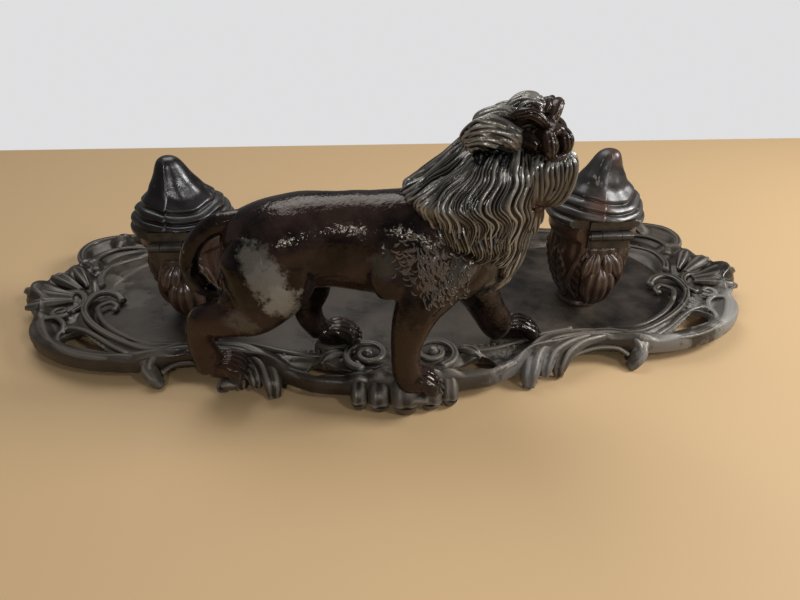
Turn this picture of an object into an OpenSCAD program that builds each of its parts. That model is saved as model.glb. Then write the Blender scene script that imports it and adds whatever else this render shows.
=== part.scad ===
// Desk inkstand: a pierced scroll-work tray that carries a striding lion between two lidded wells.
// X runs along the tray, Y from the lion's side to the writer's side, Z up from the table.

/* [Tray] */
// Length over the two leaf handles
tray_length = 366; // [350:1:390]
// Depth from the front shell to the back rim
tray_depth = 155; // [150:1:170]
// Height of the pan floor above the table
pan_floor = 5; // [4.5:0.5:7]
// Thickness of the pan floor
floor_wall = 2.5; // [1.5:0.1:3]
// Height of the rim's crest above the table
rim_top = 11.5; // [9.5:0.5:14]
// Radius of the beads along the scrolls
bead_r = 2; // [1.2:0.1:2.6]
// Radius of each foot where it stands on the table
foot_r = 3; // [2:0.1:4]

/* [Wells] */
// Distance of each well's axis from the middle of the tray
well_offset = 94.8; // [90:0.1:105]
// Distance of the wells' axes behind the middle of the tray
well_back = 3.5; // [0:0.5:8]
// Height of a pot from the pan floor to its rim
pot_height = 45.4; // [42:0.1:50]
// Radius of a pot's body at its fullest
pot_r = 18.6; // [17.8:0.1:20]
// How far the carved leaves stand out of a pot
leaf_relief = 1.2; // [0.8:0.1:1.6]
// Number of carved leaves round a pot
leaf_count = 8; // [6:1:10]
// Radius of a lid at its lowest fold
lid_r = 22.9; // [22:0.1:25]
// Height of a lid from its seat to its tip
lid_height = 32; // [28:0.5:38]
// Distance of the flat back of pot and lid from the well's axis
back_flat = 16; // [15.8:0.1:16.6]

/* [Ink liners] */
// Outer radius of a glass liner at its mouth
liner_r = 13.2; // [12:0.1:13.4]
// Thickness of the glass
glass_wall = 1.8; // [1.2:0.1:2.5]
// Clearance round a liner in its pot
liner_gap = 0.3; // [0.2:0.1:0.6]

/* [Hinges] */
// Width of a hinge over its three knuckles
hinge_width = 19.2; // [18:0.1:22]
// Width of the middle knuckle
middle_knuckle = 9; // [7:0.1:11]
// How far a hinge's middle lies outwards of the well's axis
hinge_offset = 2.2; // [0:0.1:3]
// Radius of the knuckles
knuckle_r = 2.1; // [1.8:0.05:2.3]
// Radius of the hinge pin
pin_r = 0.9; // [0.6:0.05:1.1]
// Radial clearance of the pin in the lid's knuckle
pin_gap = 0.05; // [0.02:0.01:0.08]
// Thickness of the hinge leaves
leaf_wall = 1.2; // [0.8:0.1:1.4]
// Height of the hinge leaves beyond the pin's axis
leaf_height = 6.5; // [5.5:0.1:7.5]

/* [Lion] */
// Length of the lion from the back of its hock to its chest
lion_length = 128; // [120:1:134]
// Height of the lion's withers above the table
lion_height = 84; // [78:1:90]
// Width of the lion's barrel
lion_width = 35; // [30:1:38]
// Distance of the lion's spine in from the tray's front edge
lion_inset = 27; // [25:0.5:30]
// Height of the pads that the paws stand on, above the table
paw_seat = 10; // [8.5:0.5:11]
// Thickness of the tail at its middle
tail_d = 7.4; // [6:0.1:9]

/* [Fasteners] */
// Radius of the screws that hold the lion's paws
paw_screw_r = 1.6; // [1.2:0.1:1.8]
// Radius of the screws that hold the pots
pot_screw_r = 2; // [1.5:0.1:2.5]
// Height of the screw heads under the tray
head_h = 1.5; // [1:0.1:1.8]

/* [Hidden] */

IRON = "#3a332d";
BRONZE = "#4a3326";
COPPER = "#6b4630";
GLASS = "#b9cfc9";
BRASS = "#8a6f45";
STEEL = "#77736c";
eps = 0.01;

floor_under = pan_floor - floor_wall;
hole_gap = 0.15;
thread_gap = 0.05;
seat_gap = 0.1;
pot_top = pan_floor + pot_height;
lid_seat = pot_top + seat_gap;
hinge_drop = 3;
hinge_z = lid_seat - hinge_drop;
hinge_clear = 0.3;
hinge_y = -back_flat - knuckle_r - hinge_clear;

// ---- curves and swept solids ----

function mix(a, b, t) = a + (b - a) * t;
function unit(v) = v / norm(v);

// Catmull-Rom point between b and c
function between(a, b, c, d, t) =
  0.5 * (2*b + (c - a)*t + (2*a - 5*b + 4*c - d)*t*t + (3*b - a - 3*c + d)*t*t*t);

function smooth_loop(p, steps) = let(n = len(p))
  [for (i = [0 : n - 1]) for (k = [0 : steps - 1])
    between(p[(i + n - 1) % n], p[i], p[(i + 1) % n], p[(i + 2) % n], k / steps)];

function smooth_line(p, steps) = let(n = len(p))
  [for (i = [0 : n - 2]) for (k = [0 : steps - 1])
    between(p[max(i - 1, 0)], p[i], p[i + 1], p[min(i + 2, n - 1)], k / steps), p[n - 1]];

// Both halves of an outline from its right half, which runs from front to back
function both_sides(half) = let(n = len(half))
  concat(half, [for (i = [n - 2 : -1 : 1]) [-half[i][0], half[i][1]]]);

// A loft through stations [x, y, z, half width across Y, half depth], one ellipse at each
function heading(s, i) = let(a = s[max(i - 1, 0)], b = s[min(i + 1, len(s) - 1)])
  unit([b[0] - a[0], 0, b[2] - a[2]]);
function ellipse_ring(s, i, sides) = let(f = heading(s, i), up = [-f[2], 0, f[0]])
  [for (k = [0 : sides - 1]) let(q = 360 * k / sides)
    [s[i][0], s[i][1], s[i][2]] + s[i][3] * cos(q) * [0, 1, 0] + s[i][4] * sin(q) * up];

module skin(rings) {
  n = len(rings[0]);
  m = len(rings);
  points = [for (r = rings) each r];
  sides = [for (i = [0 : m - 2]) for (k = [0 : n - 1])
    [i*n + k, (i + 1)*n + k, (i + 1)*n + (k + 1) % n, i*n + (k + 1) % n]];
  caps = [[for (k = [0 : n - 1]) k], [for (k = [n - 1 : -1 : 0]) (m - 1)*n + k]];
  polyhedron(points, concat(sides, caps), convexity = 6);
}

module loft(stations, sides = 12) {
  skin([for (i = [0 : len(stations) - 1]) ellipse_ring(stations, i, sides)]);
}

// A round bead along a level spiral: radius r0 to r1 about c while the angle runs from a0 to a1
module scroll_bead(c, r0, r1, a0, a1, w0, w1, steps = 6) {
  path = [for (k = [0 : steps]) let(t = k / steps, q = mix(a0, a1, t), r = mix(r0, r1, t))
    [c[0] + r * cos(q), c[1] + r * sin(q), c[2], mix(w0, w1, t)]];
  bead(path);
}

module bead(path, sides = 5) {
  n = len(path);
  skin([for (i = [0 : n - 1]) let(
      a = path[max(i - 1, 0)], b = path[min(i + 1, n - 1)], f = unit([b[0] - a[0], b[1] - a[1], 0]))
    [for (k = [0 : sides - 1]) let(q = 360 * k / sides)
      [path[i][0], path[i][1], path[i][2]] + path[i][3] * (cos(q) * [-f[1], f[0], 0] + sin(q) * [0, 0, 1])]]);
}

module blob(a, ra, b, rb, fn = 14) {
  hull() {
    translate(a) sphere(r = ra, $fn = fn);
    translate(b) sphere(r = rb, $fn = fn);
  }
}

module both_ends() {
  children();
  mirror([1, 0, 0]) children();
}

// ---- tray ----

half_l = tray_length / 2;
half_d = tray_depth / 2;

// The right half of the rim's outer edge and of the pan's edge, front to back, as shares of the half sizes
RIM_HALF = [
  [0, -0.98], [0.066, -0.945], [0.13, -0.87], [0.2, -0.785], [0.26, -0.745], [0.31, -0.775],
  [0.365, -0.71], [0.42, -0.62], [0.485, -0.57], [0.55, -0.58], [0.615, -0.595], [0.695, -0.575],
  [0.78, -0.52], [0.86, -0.4], [0.915, -0.25], [0.94, -0.09], [0.955, 0.03], [0.995, 0.09],
  [0.985, 0.25], [0.94, 0.34], [0.955, 0.46], [0.915, 0.56], [0.94, 0.7], [0.92, 0.85],
  [0.86, 0.955], [0.79, 0.985], [0.7, 0.95], [0.6, 0.905], [0.5, 0.93], [0.38, 0.95],
  [0.25, 0.905], [0.12, 0.95], [0, 0.98]
];
PAN_HALF = [
  [0, -0.54], [0.055, -0.53], [0.11, -0.52], [0.16, -0.515], [0.21, -0.51], [0.25, -0.5],
  [0.295, -0.46], [0.34, -0.41], [0.405, -0.35], [0.48, -0.32], [0.55, -0.31], [0.615, -0.3],
  [0.68, -0.26], [0.73, -0.18], [0.77, -0.065], [0.79, 0.04], [0.8, 0.13], [0.8, 0.21],
  [0.795, 0.285], [0.785, 0.37], [0.77, 0.46], [0.755, 0.54], [0.73, 0.62], [0.69, 0.68],
  [0.645, 0.73], [0.6, 0.75], [0.545, 0.755], [0.48, 0.75], [0.415, 0.74], [0.33, 0.74],
  [0.24, 0.74], [0.12, 0.75], [0, 0.75]
];
RIM_STEPS = 2;
function full_size(p) = [for (q = p) [q[0] * half_l, q[1] * half_d]];
rim_edge = smooth_loop(full_size(both_sides(RIM_HALF)), RIM_STEPS);
pan_edge = smooth_loop(full_size(both_sides(PAN_HALF)), RIM_STEPS);
function rim_line(share, z) = [for (i = [0 : len(rim_edge) - 1])
  let(p = mix(rim_edge[i], pan_edge[i], share)) [p[0], p[1], z]];

skirt_low = 4.5;
rim_wall = 3;
// The casting's section, from the pan's underside out under the rim, up the skirt and back to the pan:
// share of the way from the rim's edge to the pan's, and height
section = [
  [1, floor_under], [0.4, rim_top - 3 - rim_wall], [0.14, skirt_low], [0, skirt_low],
  [0, rim_top - 2.5], [0.16, rim_top], [0.4, rim_top - 3], [0.6, rim_top - 2.2], [1, pan_floor]
];

function on_tray(u, v, z) = [u * half_l, v * half_d, z];

module dish() {
  skin([for (p = section) rim_line(p[0], p[1])]);
}

// One carved foot: a lobe that swells from the skirt down to a flat sole
module leaf_foot(u, v, lean, size = 1) {
  top = on_tray(u, v, rim_top - 5);
  hull() {
    translate(top - 0.5 * lean) sphere(r = 4.5 * size, $fn = 8);
    translate(top + lean) sphere(r = 4.2 * size, $fn = 8);
    translate([top[0] + lean[0], top[1] + lean[1], 0]) cylinder(r = foot_r * size, h = 1.5, $fn = 10);
  }
}

module front_feet() {
  both_ends() {
    leaf_foot(0.295, -0.71, [0.4, -3.6, 0]);
    leaf_foot(0.36, -0.655, [1.2, -3, 0], 0.75);
    leaf_foot(0.575, -0.55, [0.6, -2.5, 0], 0.85);
  }
  leaf_foot(0, -0.93, [0, -1.2, 0], 1.1);
}

module back_feet() {
  both_ends() {
    leaf_foot(0.36, 0.9, [0.5, 4.6, 0], 0.9);
    leaf_foot(0.83, 0.88, [1.5, 2.4, 0]);
  }
}

module scrolls() {
  z = rim_top - bead_r + 0.6;
  both_ends() {
    // the C-scroll that sweeps from the leaf foot to the hooked foot
    scroll_bead([0.475*half_l, -0.83*half_d, z], 24, 19, 150, 62, 1.4 * bead_r, bead_r);
    // the inner scroll along the pan's end, and its volute
    bead([for (p = smooth_line([[0.6, -0.36], [0.7, -0.33], [0.785, -0.2], [0.825, -0.03],
                                [0.825, 0.12], [0.79, 0.17]], 3)) concat(on_tray(p[0], p[1], z - 2), bead_r)]);
    scroll_bead(on_tray(0.83, 0.0, z - 1), 8, 3, -60, 200, bead_r, 0.6 * bead_r);
    // the back corner's long scroll
    bead([for (p = smooth_line([[0.6, 0.83], [0.75, 0.9], [0.87, 0.87], [0.925, 0.72],
                                [0.9, 0.58]], 3)) concat(on_tray(p[0], p[1], z), 1.2 * bead_r)]);
    // ribs of the leaf handle
    for (v = [0.02, 0.12, 0.22])
      bead([for (p = smooth_line([[0.83, 0.12], [0.91, mix(0.12, v, 0.6)], [0.975, v]], 3))
        concat(on_tray(p[0], p[1], z), 1.1 * bead_r)]);
    // centre volute under the forepaw
    scroll_bead(on_tray(0.085, -0.62, z), 11, 3.5, 190, -160, bead_r, 0.7 * bead_r, 8);
  }
}

// Openings cut right through the rim
module piercings() {
  translate([0, 0, -1]) linear_extrude(rim_top + 10) {
    slot_outline([0.7, -0.415], 9, 3, 24);
    both_ends() {
      slot_outline([0.18, -0.655], 8, 3.4, 6);
      slot_outline([0.8, 0.78], 6, 2, -30);
    }
  }
}

// A teardrop slot: a round end that narrows to a point along its length
module slot_outline(at, reach, r, turn) {
  tail = [for (q = [60 : 20 : 300]) r * [cos(q), sin(q)]];
  translate([at[0] * half_l, at[1] * half_d]) rotate(turn)
    polygon(concat([for (p = tail) [p[0] - reach / 2 + r, p[1]]], [[reach, 0]]));
}

// Stations are carved at these sizes, from the hock, the spine and the soles, and follow the lion's own
CARVED = [128, 35, 74];
lion_rear = -84;
lion_y = -half_d + lion_inset;
lion_scale = [lion_length / CARVED[0], lion_width / CARVED[1], (lion_height - paw_seat) / CARVED[2]];
function lion_at(p) = [lion_rear + p[0] * lion_scale[0], lion_y + p[1] * lion_scale[1],
                       paw_seat + p[2] * lion_scale[2]];
function lion_path(stations) = [for (s = stations)
  concat(lion_at(s), [s[3] * lion_scale[1], s[4] * lion_scale[2]])];

// Where each paw rests: heel, offset from the spine, and the length of the paw ahead of the heel
PAWS = [[8.5, -6, 9], [51, 16, 11.5], [86, -20, 10], [129.5, 15, 13]];
HIND_PAWS = [0, 1];
FORE_PAWS = [2, 3];

paw_pad_r = 5;
paw_seat_r = 12.5;
pad_root = 0.45 * lion_inset;
pad_under = pan_floor - 0.5;
paw_head_r = 1.9 * paw_screw_r;
screw_grip = 6;
paw_pads = [for (p = PAWS) [lion_rear + (p[0] + 1.5) * lion_scale[0], p[1] * lion_scale[1]]];

module paw_bosses() {
  for (p = paw_pads) translate([p[0], lion_y + p[1], 0]) hull() {
    translate([0, 0, pad_under]) cylinder(r = paw_pad_r, h = paw_seat - pad_under, $fn = 16);
    // those out on the rim are rooted inwards
    translate([0, p[1] < 0 ? pad_root : 0, pad_under + 2.5]) sphere(r = 3, $fn = 8);
  }
}

module tray() {
  color(IRON) difference() {
    union() {
      difference() {
        union() {
          dish();
          scrolls();
        }
        piercings();
      }
      front_feet();
      back_feet();
      paw_bosses();
    }
    for (p = paw_pads) translate([p[0], lion_y + p[1], -eps]) {
      cylinder(r = paw_screw_r + hole_gap, h = paw_seat + 2, $fn = 32);
      cylinder(r = paw_head_r + 2 * hole_gap, h = pad_under + eps, $fn = 32);
    }
    for (side = [-1, 1]) translate([side * well_offset, well_back, -eps])
      cylinder(r = pot_screw_r + hole_gap, h = pan_floor + 2, $fn = 32);
    // level seats under the paws
    for (i = [0 : len(PAWS) - 1])
      translate([paw_pads[i][0] + PAWS[i][2] / 2 * lion_scale[0], lion_y + paw_pads[i][1], paw_seat])
        cylinder(r = paw_seat_r, h = rim_top, $fn = 64);
  }
}

// ---- wells ----

module at_well(side) {
  translate([side * well_offset, well_back, 0]) children();
}

module at_hinge(side) {
  translate([side * (well_offset + hinge_offset), well_back, hinge_z]) children();
}

liner_bottom = pan_floor + 8;
liner_top = pot_top - 0.8;
// Radii of the liner from its foot to its mouth, as [share of the mouth's radius, share of the height]
LINER_LINE = [[0.68, 0], [0.85, 0.16], [0.95, 0.4], [1, 0.7], [1, 1]];
function liner_side(grow) = [for (p = LINER_LINE)
  [p[0] * liner_r + grow, mix(liner_bottom, liner_top, p[1])]];

// Outline of the pot from its foot to its rim, standing out from the carved line by grow
function pot_side(grow) = [for (p = [[0.58, 0], [0.58, 0.03], [0.5, 0.06], [0.62, 0.13], [0.76, 0.22],
                                     [0.88, 0.34], [0.96, 0.48], [1, 0.64], [0.99, 0.78]])
  [p[0] * pot_r + grow, pan_floor + p[1] * pot_height]];

module pot_body() {
  rotate_extrude($fn = 96) polygon(concat([[0, pan_floor]], pot_side(0), [
    [pot_r, pot_top - 0.16 * pot_height], [pot_r + 1.5, pot_top - 0.1 * pot_height],
    [pot_r + 1.5, pot_top - 1], [pot_r + 0.6, pot_top], [0, pot_top]]));
}

// A pointed leaf cut from a shell that stands out of the pot by the leaf's relief
module carved_leaf(turn) {
  rise = 0.62 * pot_height;
  reach = 0.33 * pot_r;
  arch = (rise*rise / 4 + reach*reach) / (2 * reach);
  intersection() {
    rotate_extrude($fn = 96) polygon(concat([[5, pan_floor + 2]],
      [for (p = pot_side(leaf_relief)) if (p[1] > pan_floor + 2) p], [[5, pan_floor + 0.8 * pot_height]]));
    rotate(turn) translate([0, 0, pan_floor + 4 + rise / 2]) rotate([0, 90, 0])
      linear_extrude(pot_r + 5) intersection() {
        translate([0, arch - reach]) circle(r = arch, $fn = 96);
        translate([0, reach - arch]) circle(r = arch, $fn = 96);
      }
  }
}

// The curled leaf that hangs from the back of the pot like a closed bud
module bud() {
  translate([0, -pot_r + 1, pan_floor + 13]) rotate([-14, 0, 0]) rotate_extrude($fn = 48)
    polygon([[0, -9], [2.8, -6.5], [4.8, -2], [5, 2], [3.6, 7], [1.5, 10.5], [0, 12]]);
}

module pot_feet() {
  for (turn = [30, 150, 210, 330])
    rotate(turn) translate([0.62 * pot_r, 0, pan_floor]) cylinder(r1 = 3, r2 = 2, h = 8, $fn = 32);
}

module pot(side) {
  color(COPPER) at_well(side) difference() {
    union() {
      pot_body();
      for (i = [0 : leaf_count - 1]) carved_leaf((i + 0.5) * 360 / leaf_count);
      bud();
      pot_feet();
    }
    rotate_extrude($fn = 96) polygon(concat([[0, liner_bottom]], liner_side(liner_gap),
      [[liner_r + liner_gap, pot_top + 1], [0, pot_top + 1]]));
    translate([-hinge_width, -back_flat - 10, hinge_z - leaf_height - 0.4])
      cube([2 * hinge_width, 10, leaf_height + 5]);
    translate([-hinge_width, -back_flat - 10, hinge_z])
      cube([2 * hinge_width, 10 + seat_gap, hinge_drop + 1]);
    translate([0, 0, pan_floor - eps])
      cylinder(r = pot_screw_r + thread_gap, h = liner_bottom - pan_floor - 1.5, $fn = 32);
  }
}

module liner(side) {
  color(GLASS, 0.6) at_well(side) difference() {
    rotate_extrude($fn = 96)
      polygon(concat([[0, liner_bottom]], liner_side(0), [[0, liner_top]]));
    rotate_extrude($fn = 96) polygon(concat([[0, liner_bottom + 2 * glass_wall]],
      [for (p = liner_side(-glass_wall)) if (p[1] > liner_bottom + 2 * glass_wall) p],
      [[liner_r - glass_wall, liner_top + 1], [0, liner_top + 1]]));
  }
}

// Folds of the lid from its lip to its tip: share of the radius, share of the height
LID_FOLDS = [
  [0.91, 0], [1, 0.05], [0.99, 0.11], [0.93, 0.13], [0.95, 0.19], [0.88, 0.235], [0.83, 0.245],
  [0.84, 0.3], [0.75, 0.345], [0.68, 0.36], [0.68, 0.42], [0.58, 0.47], [0.47, 0.56],
  [0.34, 0.7], [0.22, 0.82], [0.11, 0.94], [0, 1]
];
lid_wall = 2.6;

module lid(side) {
  color(BRONZE) at_well(side) difference() {
    translate([0, 0, lid_seat]) rotate_extrude($fn = 96)
      polygon(concat([[0, 0]], [for (p = LID_FOLDS) [p[0] * lid_r, p[1] * lid_height]]));
    translate([0, 0, lid_seat - eps]) rotate_extrude($fn = 96) polygon([
      [0, 0], [0.81 * lid_r - lid_wall, 0], [0.78 * lid_r - lid_wall, 0.2 * lid_height],
      [0.5 * lid_r - lid_wall, 0.42 * lid_height], [0, 0.5 * lid_height]]);
    translate([-hinge_width, -back_flat - 10, lid_seat - 1])
      cube([2 * hinge_width, 10, leaf_height - hinge_drop + 1.4]);
  }
}

// ---- hinges ----

outer_knuckle = (hinge_width - middle_knuckle) / 2 - 0.2;

// A leaf with its knuckles: up is 1 for the leaf that rises on the lid, -1 for the one on the pot
module hinge_leaf(side, up, bore) {
  color(BRASS) at_hinge(side) difference() {
    union() {
      translate([-hinge_width / 2, -back_flat - leaf_wall, up > 0 ? 0 : -leaf_height])
        cube([hinge_width, leaf_wall, leaf_height]);
      if (up > 0) knuckle(-middle_knuckle / 2, middle_knuckle);
      else for (x = [-hinge_width / 2, hinge_width / 2 - outer_knuckle]) knuckle(x, outer_knuckle);
    }
    notch = knuckle_r + hinge_clear;
    if (up > 0) for (x = [-hinge_width / 2 - 1, middle_knuckle / 2])
      translate([x, -back_flat - leaf_wall - 1, -1]) cube([outer_knuckle + 1.2, leaf_wall + 2, notch + 1]);
    else translate([-middle_knuckle / 2 - 0.2, -back_flat - leaf_wall - 1, -notch])
      cube([middle_knuckle + 0.4, leaf_wall + 2, notch + 1]);
    translate([-hinge_width, hinge_y, 0]) rotate([0, 90, 0])
      cylinder(r = bore, h = 2 * hinge_width, $fn = 32);
  }
}

module knuckle(x, width) {
  translate([x, hinge_y, 0]) rotate([0, 90, 0]) cylinder(r = knuckle_r, h = width, $fn = 48);
}

module hinge_pin(side) {
  color(STEEL) at_hinge(side) translate([-hinge_width / 2, hinge_y, 0]) rotate([0, 90, 0]) {
    cylinder(r = pin_r, h = hinge_width, $fn = 32);
    translate([0, 0, hinge_width]) cylinder(r = pin_r + 0.5, h = 0.6, $fn = 32);
    translate([0, 0, -0.6]) cylinder(r = pin_r + 0.5, h = 0.6, $fn = 32);
  }
}

module pot_screws() {
  color(STEEL) for (side = [-1, 1]) at_well(side) {
    translate([0, 0, floor_under - head_h]) cylinder(r = 2 * pot_screw_r, h = head_h, $fn = 32);
    translate([0, 0, floor_under - eps])
      cylinder(r = pot_screw_r, h = pan_floor - floor_under + liner_bottom - pan_floor - 2, $fn = 32);
  }
}

// ---- lion ----

WAIST = 71;
NECK_SEAM = 84;
HIND_BODY = [
  [16.5, 4.5, 53, 5, 7], [21, 4.3, 53, 11, 12.5], [28, 4, 53.5, 15.5, 15.5], [37, 3.5, 54.5, 17.5, 18],
  [47, 3, 55.3, 17.5, 18.5], [58, 2, 56, 16.5, 18.6], [WAIST, 1, 55.3, 16.5, 20]
];
FORE_BODY = [
  [WAIST, 1, 55.3, 16.5, 20], [82, 0, 54.7, 17, 21.3], [92, -1, 54, 18.5, 22], [102, -1, 52, 20, 19],
  [112, -1, 51, 18, 17], [119, -1, 50, 12, 12], [123, -1, 49, 6, 7]
];
NEAR_HIND_LEG = [
  [36, -6, 62, 6, 12], [35, -7.5, 51, 9, 18.5], [33, -8.5, 41, 9, 17], [26.5, -8, 32.5, 8, 12],
  [16, -7.5, 28.5, 6.5, 8.8], [7.5, -7, 26, 5.5, 7.2], [4.2, -6.5, 20, 5, 6], [4.6, -6, 13, 5, 5.8],
  [7, -6, 4.5, 5.5, 6]
];
FAR_HIND_LEG = [
  [40, 9, 54, 8, 14], [45.5, 12, 38, 7.5, 10.5], [47.5, 14.5, 28, 6, 8], [45, 15.5, 19, 5.2, 6.6],
  [46, 16, 11, 5.2, 6.2], [50, 16, 4.5, 5.5, 6]
];
NEAR_FORE_LEG = [
  [100, -11, 56, 8, 13], [94, -14, 45, 8.5, 12.5], [88.5, -17, 36, 7, 9.5], [85.2, -18.5, 26, 6.2, 7.5],
  [84, -19.3, 17, 5.5, 6.3], [84.8, -19.8, 9, 5.5, 6.3], [87, -20, 4.5, 6, 7]
];
FAR_FORE_LEG = [
  [102, 8, 50, 8, 13], [111, 11, 34, 7, 10], [118, 13, 23, 6.5, 8.5], [122.5, 14, 14, 5.8, 7.6],
  [127, 14.5, 7, 5.8, 7], [130, 15, 4.5, 6, 6]
];
MANE = [
  [113.5, -2, 28, 6, 5], [113.5, -2, 35, 11, 8.5], [112, -2, 44, 17, 13], [110.5, -1, 54, 20.5, 17.5],
  [110, -1, 63, 22, 21.5], [111.5, 0, 71, 21, 22], [115.5, 0, 78, 19, 20.5], [118.5, 0, NECK_SEAM, 18, 19]
];
CROWN = [
  [118.5, 0, NECK_SEAM, 18, 19], [120, 1, 90, 16, 16.5], [121.5, 1.5, 95, 13.5, 14],
  [124, 2, 100, 10.5, 11], [126, 2, 105, 7, 7], [127, 1.5, 108.5, 3, 3]
];
BEARD = [[134, -4, 88, 8, 9], [135, -3, 82, 8.5, 8], [133, -2, 75, 8, 8], [130, -1, 68, 5, 6]];
TAIL = [
  [26, 4, 63.5, 4.2, 4.6], [16, 3.6, 62.5, 4, 4.2], [8.5, 3.4, 57.5, 3.7, 3.7], [3.9, 3.2, 50, 3.7, 3.7],
  [3.2, 3.2, 43, 3.8, 3.8], [6.5, 3.4, 37, 3.8, 4], [11.5, 3.6, 34, 2.4, 2.6]
];
module lion_loft(stations, sides = 12) {
  loft(lion_path(stations), sides);
}

module lion_blob(a, ra, b, rb) {
  blob(lion_at(a), ra, lion_at(b), rb, 10);
}

// A paw: a heel and four toes
module paw(p) {
  lion_blob([p[0] - 2, p[1], 4.5], 4.6, [p[0] + 0.5 * p[2], p[1], 4.2], 4.8);
  for (toe = [-1.5 : 1 : 1.5])
    lion_blob([p[0] + 2, p[1] + 2.6 * toe, 4], 2.8, [p[0] + p[2] - abs(toe), p[1] + 3.2 * toe, 2.6], 2.9);
}

// The room above the soles, between two places along the lion
module lion_room(from, to, low, high) {
  a = lion_at([from, -60, low]);
  b = lion_at([to, 60, high]);
  translate(a) cube(b - a);
}

module paw_holes(which) {
  for (i = which) translate([paw_pads[i][0], lion_y + paw_pads[i][1], paw_seat - 1])
    cylinder(r = paw_screw_r + thread_gap, h = screw_grip + 1.5, $fn = 32);
}

module lion_hindquarters() {
  color(BRONZE) difference() {
    intersection() {
      union() {
        lion_loft(HIND_BODY, 14);
        lion_loft(NEAR_HIND_LEG);
        lion_loft(FAR_HIND_LEG);
        for (i = HIND_PAWS) paw(PAWS[i]);
      }
      lion_room(-10, WAIST, 0, 90);
    }
    paw_holes(HIND_PAWS);
  }
}

module lion_forequarters() {
  color(BRONZE) difference() {
    intersection() {
      union() {
        lion_loft(FORE_BODY, 14);
        lion_loft(NEAR_FORE_LEG);
        lion_loft(FAR_FORE_LEG);
        lion_loft(MANE, 18);
        lion_loft(BEARD, 10);
        for (i = FORE_PAWS) paw(PAWS[i]);
      }
      lion_room(WAIST, 170, 0, NECK_SEAM);
    }
    paw_holes(FORE_PAWS);
  }
}

module lion_head() {
  color(BRONZE) intersection() {
    union() {
      lion_loft(CROWN, 18);
      lion_loft(BEARD, 10);
      // muzzle, nose, brows, forelock, ears and the ruff behind the cheek
      lion_blob([130, -3, 93.5], 8.5, [135, -7.5, 91], 7);
      lion_blob([137.5, -10, 93], 3.4, [139, -11.5, 91.5], 2.8);
      lion_blob([122, -8, 102], 3.2, [129, -4, 102.5], 3.8);
      lion_blob([134, 4, 101.5], 3, [130, -2, 103.5], 3);
      lion_blob([122, -1, 105], 4.4, [127, -1, 106.5], 4.2);
      lion_blob([117, -4, 99], 3.4, [115, -8, 101], 2.6);
      lion_blob([128, 9, 100], 3.4, [132, 11.5, 104], 2.6);
      lion_blob([110, -12, 93], 5.5, [121, -13, 91], 4.5);
      lion_blob([107.5, -5, 92], 5, [113, -8, 96], 5);
      lion_blob([110, 11, 91], 5, [119, 12, 92], 5);
    }
    lion_room(80, 170, NECK_SEAM, 120);
  }
}

module lion_tail() {
  color(BRONZE) difference() {
    lion_loft(TAIL, 10);
    lion_loft(HIND_BODY, 14);
  }
}

module paw_screws() {
  color(STEEL) for (p = paw_pads) translate([p[0], lion_y + p[1], 0]) {
    translate([0, 0, pad_under - head_h]) cylinder(r = paw_head_r, h = head_h, $fn = 32);
    translate([0, 0, pad_under - eps])
      cylinder(r = paw_screw_r, h = paw_seat - pad_under + screw_grip, $fn = 32);
  }
}

tray();
pot(-1);  // pot_left
pot(1);  // pot_right
liner(-1);  // liner_left
liner(1);  // liner_right
lid(-1);  // lid_left
lid(1);  // lid_right
hinge_leaf(-1, -1, pin_r + 0.02);  // pot_hinge_leaf_left
hinge_leaf(1, -1, pin_r + 0.02);  // pot_hinge_leaf_right
hinge_leaf(-1, 1, pin_r + pin_gap);  // lid_hinge_leaf_left
hinge_leaf(1, 1, pin_r + pin_gap);  // lid_hinge_leaf_right
hinge_pin(-1);  // hinge_pin_left
hinge_pin(1);  // hinge_pin_right
lion_hindquarters();
lion_forequarters();
lion_head();
lion_tail();
paw_screws();
pot_screws();
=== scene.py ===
import math
import bpy
import numpy as np
from mathutils import Matrix, Vector


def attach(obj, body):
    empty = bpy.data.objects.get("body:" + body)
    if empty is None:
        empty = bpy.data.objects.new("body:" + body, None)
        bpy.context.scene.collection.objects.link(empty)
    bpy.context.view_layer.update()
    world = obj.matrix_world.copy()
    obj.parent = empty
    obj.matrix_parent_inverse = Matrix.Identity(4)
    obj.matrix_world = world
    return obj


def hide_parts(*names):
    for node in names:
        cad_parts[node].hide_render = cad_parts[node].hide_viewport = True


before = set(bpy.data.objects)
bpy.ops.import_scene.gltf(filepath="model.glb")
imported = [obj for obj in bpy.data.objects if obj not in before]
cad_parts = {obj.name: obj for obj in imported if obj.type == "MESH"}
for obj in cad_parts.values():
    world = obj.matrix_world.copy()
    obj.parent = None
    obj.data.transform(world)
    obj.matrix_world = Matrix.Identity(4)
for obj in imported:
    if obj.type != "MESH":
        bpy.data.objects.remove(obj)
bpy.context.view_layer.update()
MM = 0.001

# ---------------------------------------------------------------- camera
# A short lens looks down on the lion's side from a little left of the middle of the tray.

camera_at = Vector((-15.8, -252.9, 165.4)) * MM
azimuth, elevation, roll = math.radians(4.22), math.radians(31.82), math.radians(0.41)
look = Vector((math.sin(azimuth) * math.cos(elevation), math.cos(azimuth) * math.cos(elevation),
               -math.sin(elevation)))
level = Vector((math.cos(azimuth), -math.sin(azimuth), 0))
above = level.cross(look)
right = math.cos(roll) * level + math.sin(roll) * above
above = right.cross(look)
camera_data = bpy.data.cameras.new("camera")
camera_data.sensor_width = 36
camera_data.lens = 27.0
camera_data.clip_start = 0.01
camera = bpy.data.objects.new("camera", camera_data)
camera.matrix_world = Matrix.Translation(camera_at) @ Matrix((right, above, -look)).transposed().to_4x4()
bpy.context.scene.collection.objects.link(camera)
bpy.context.scene.camera = camera

# ---------------------------------------------------------------- floor and light
# A plain pale table top that ends before a pale wall. A large soft lamp behind stands for a window,
# and smaller ones at the right and in front light the near side.

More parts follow.
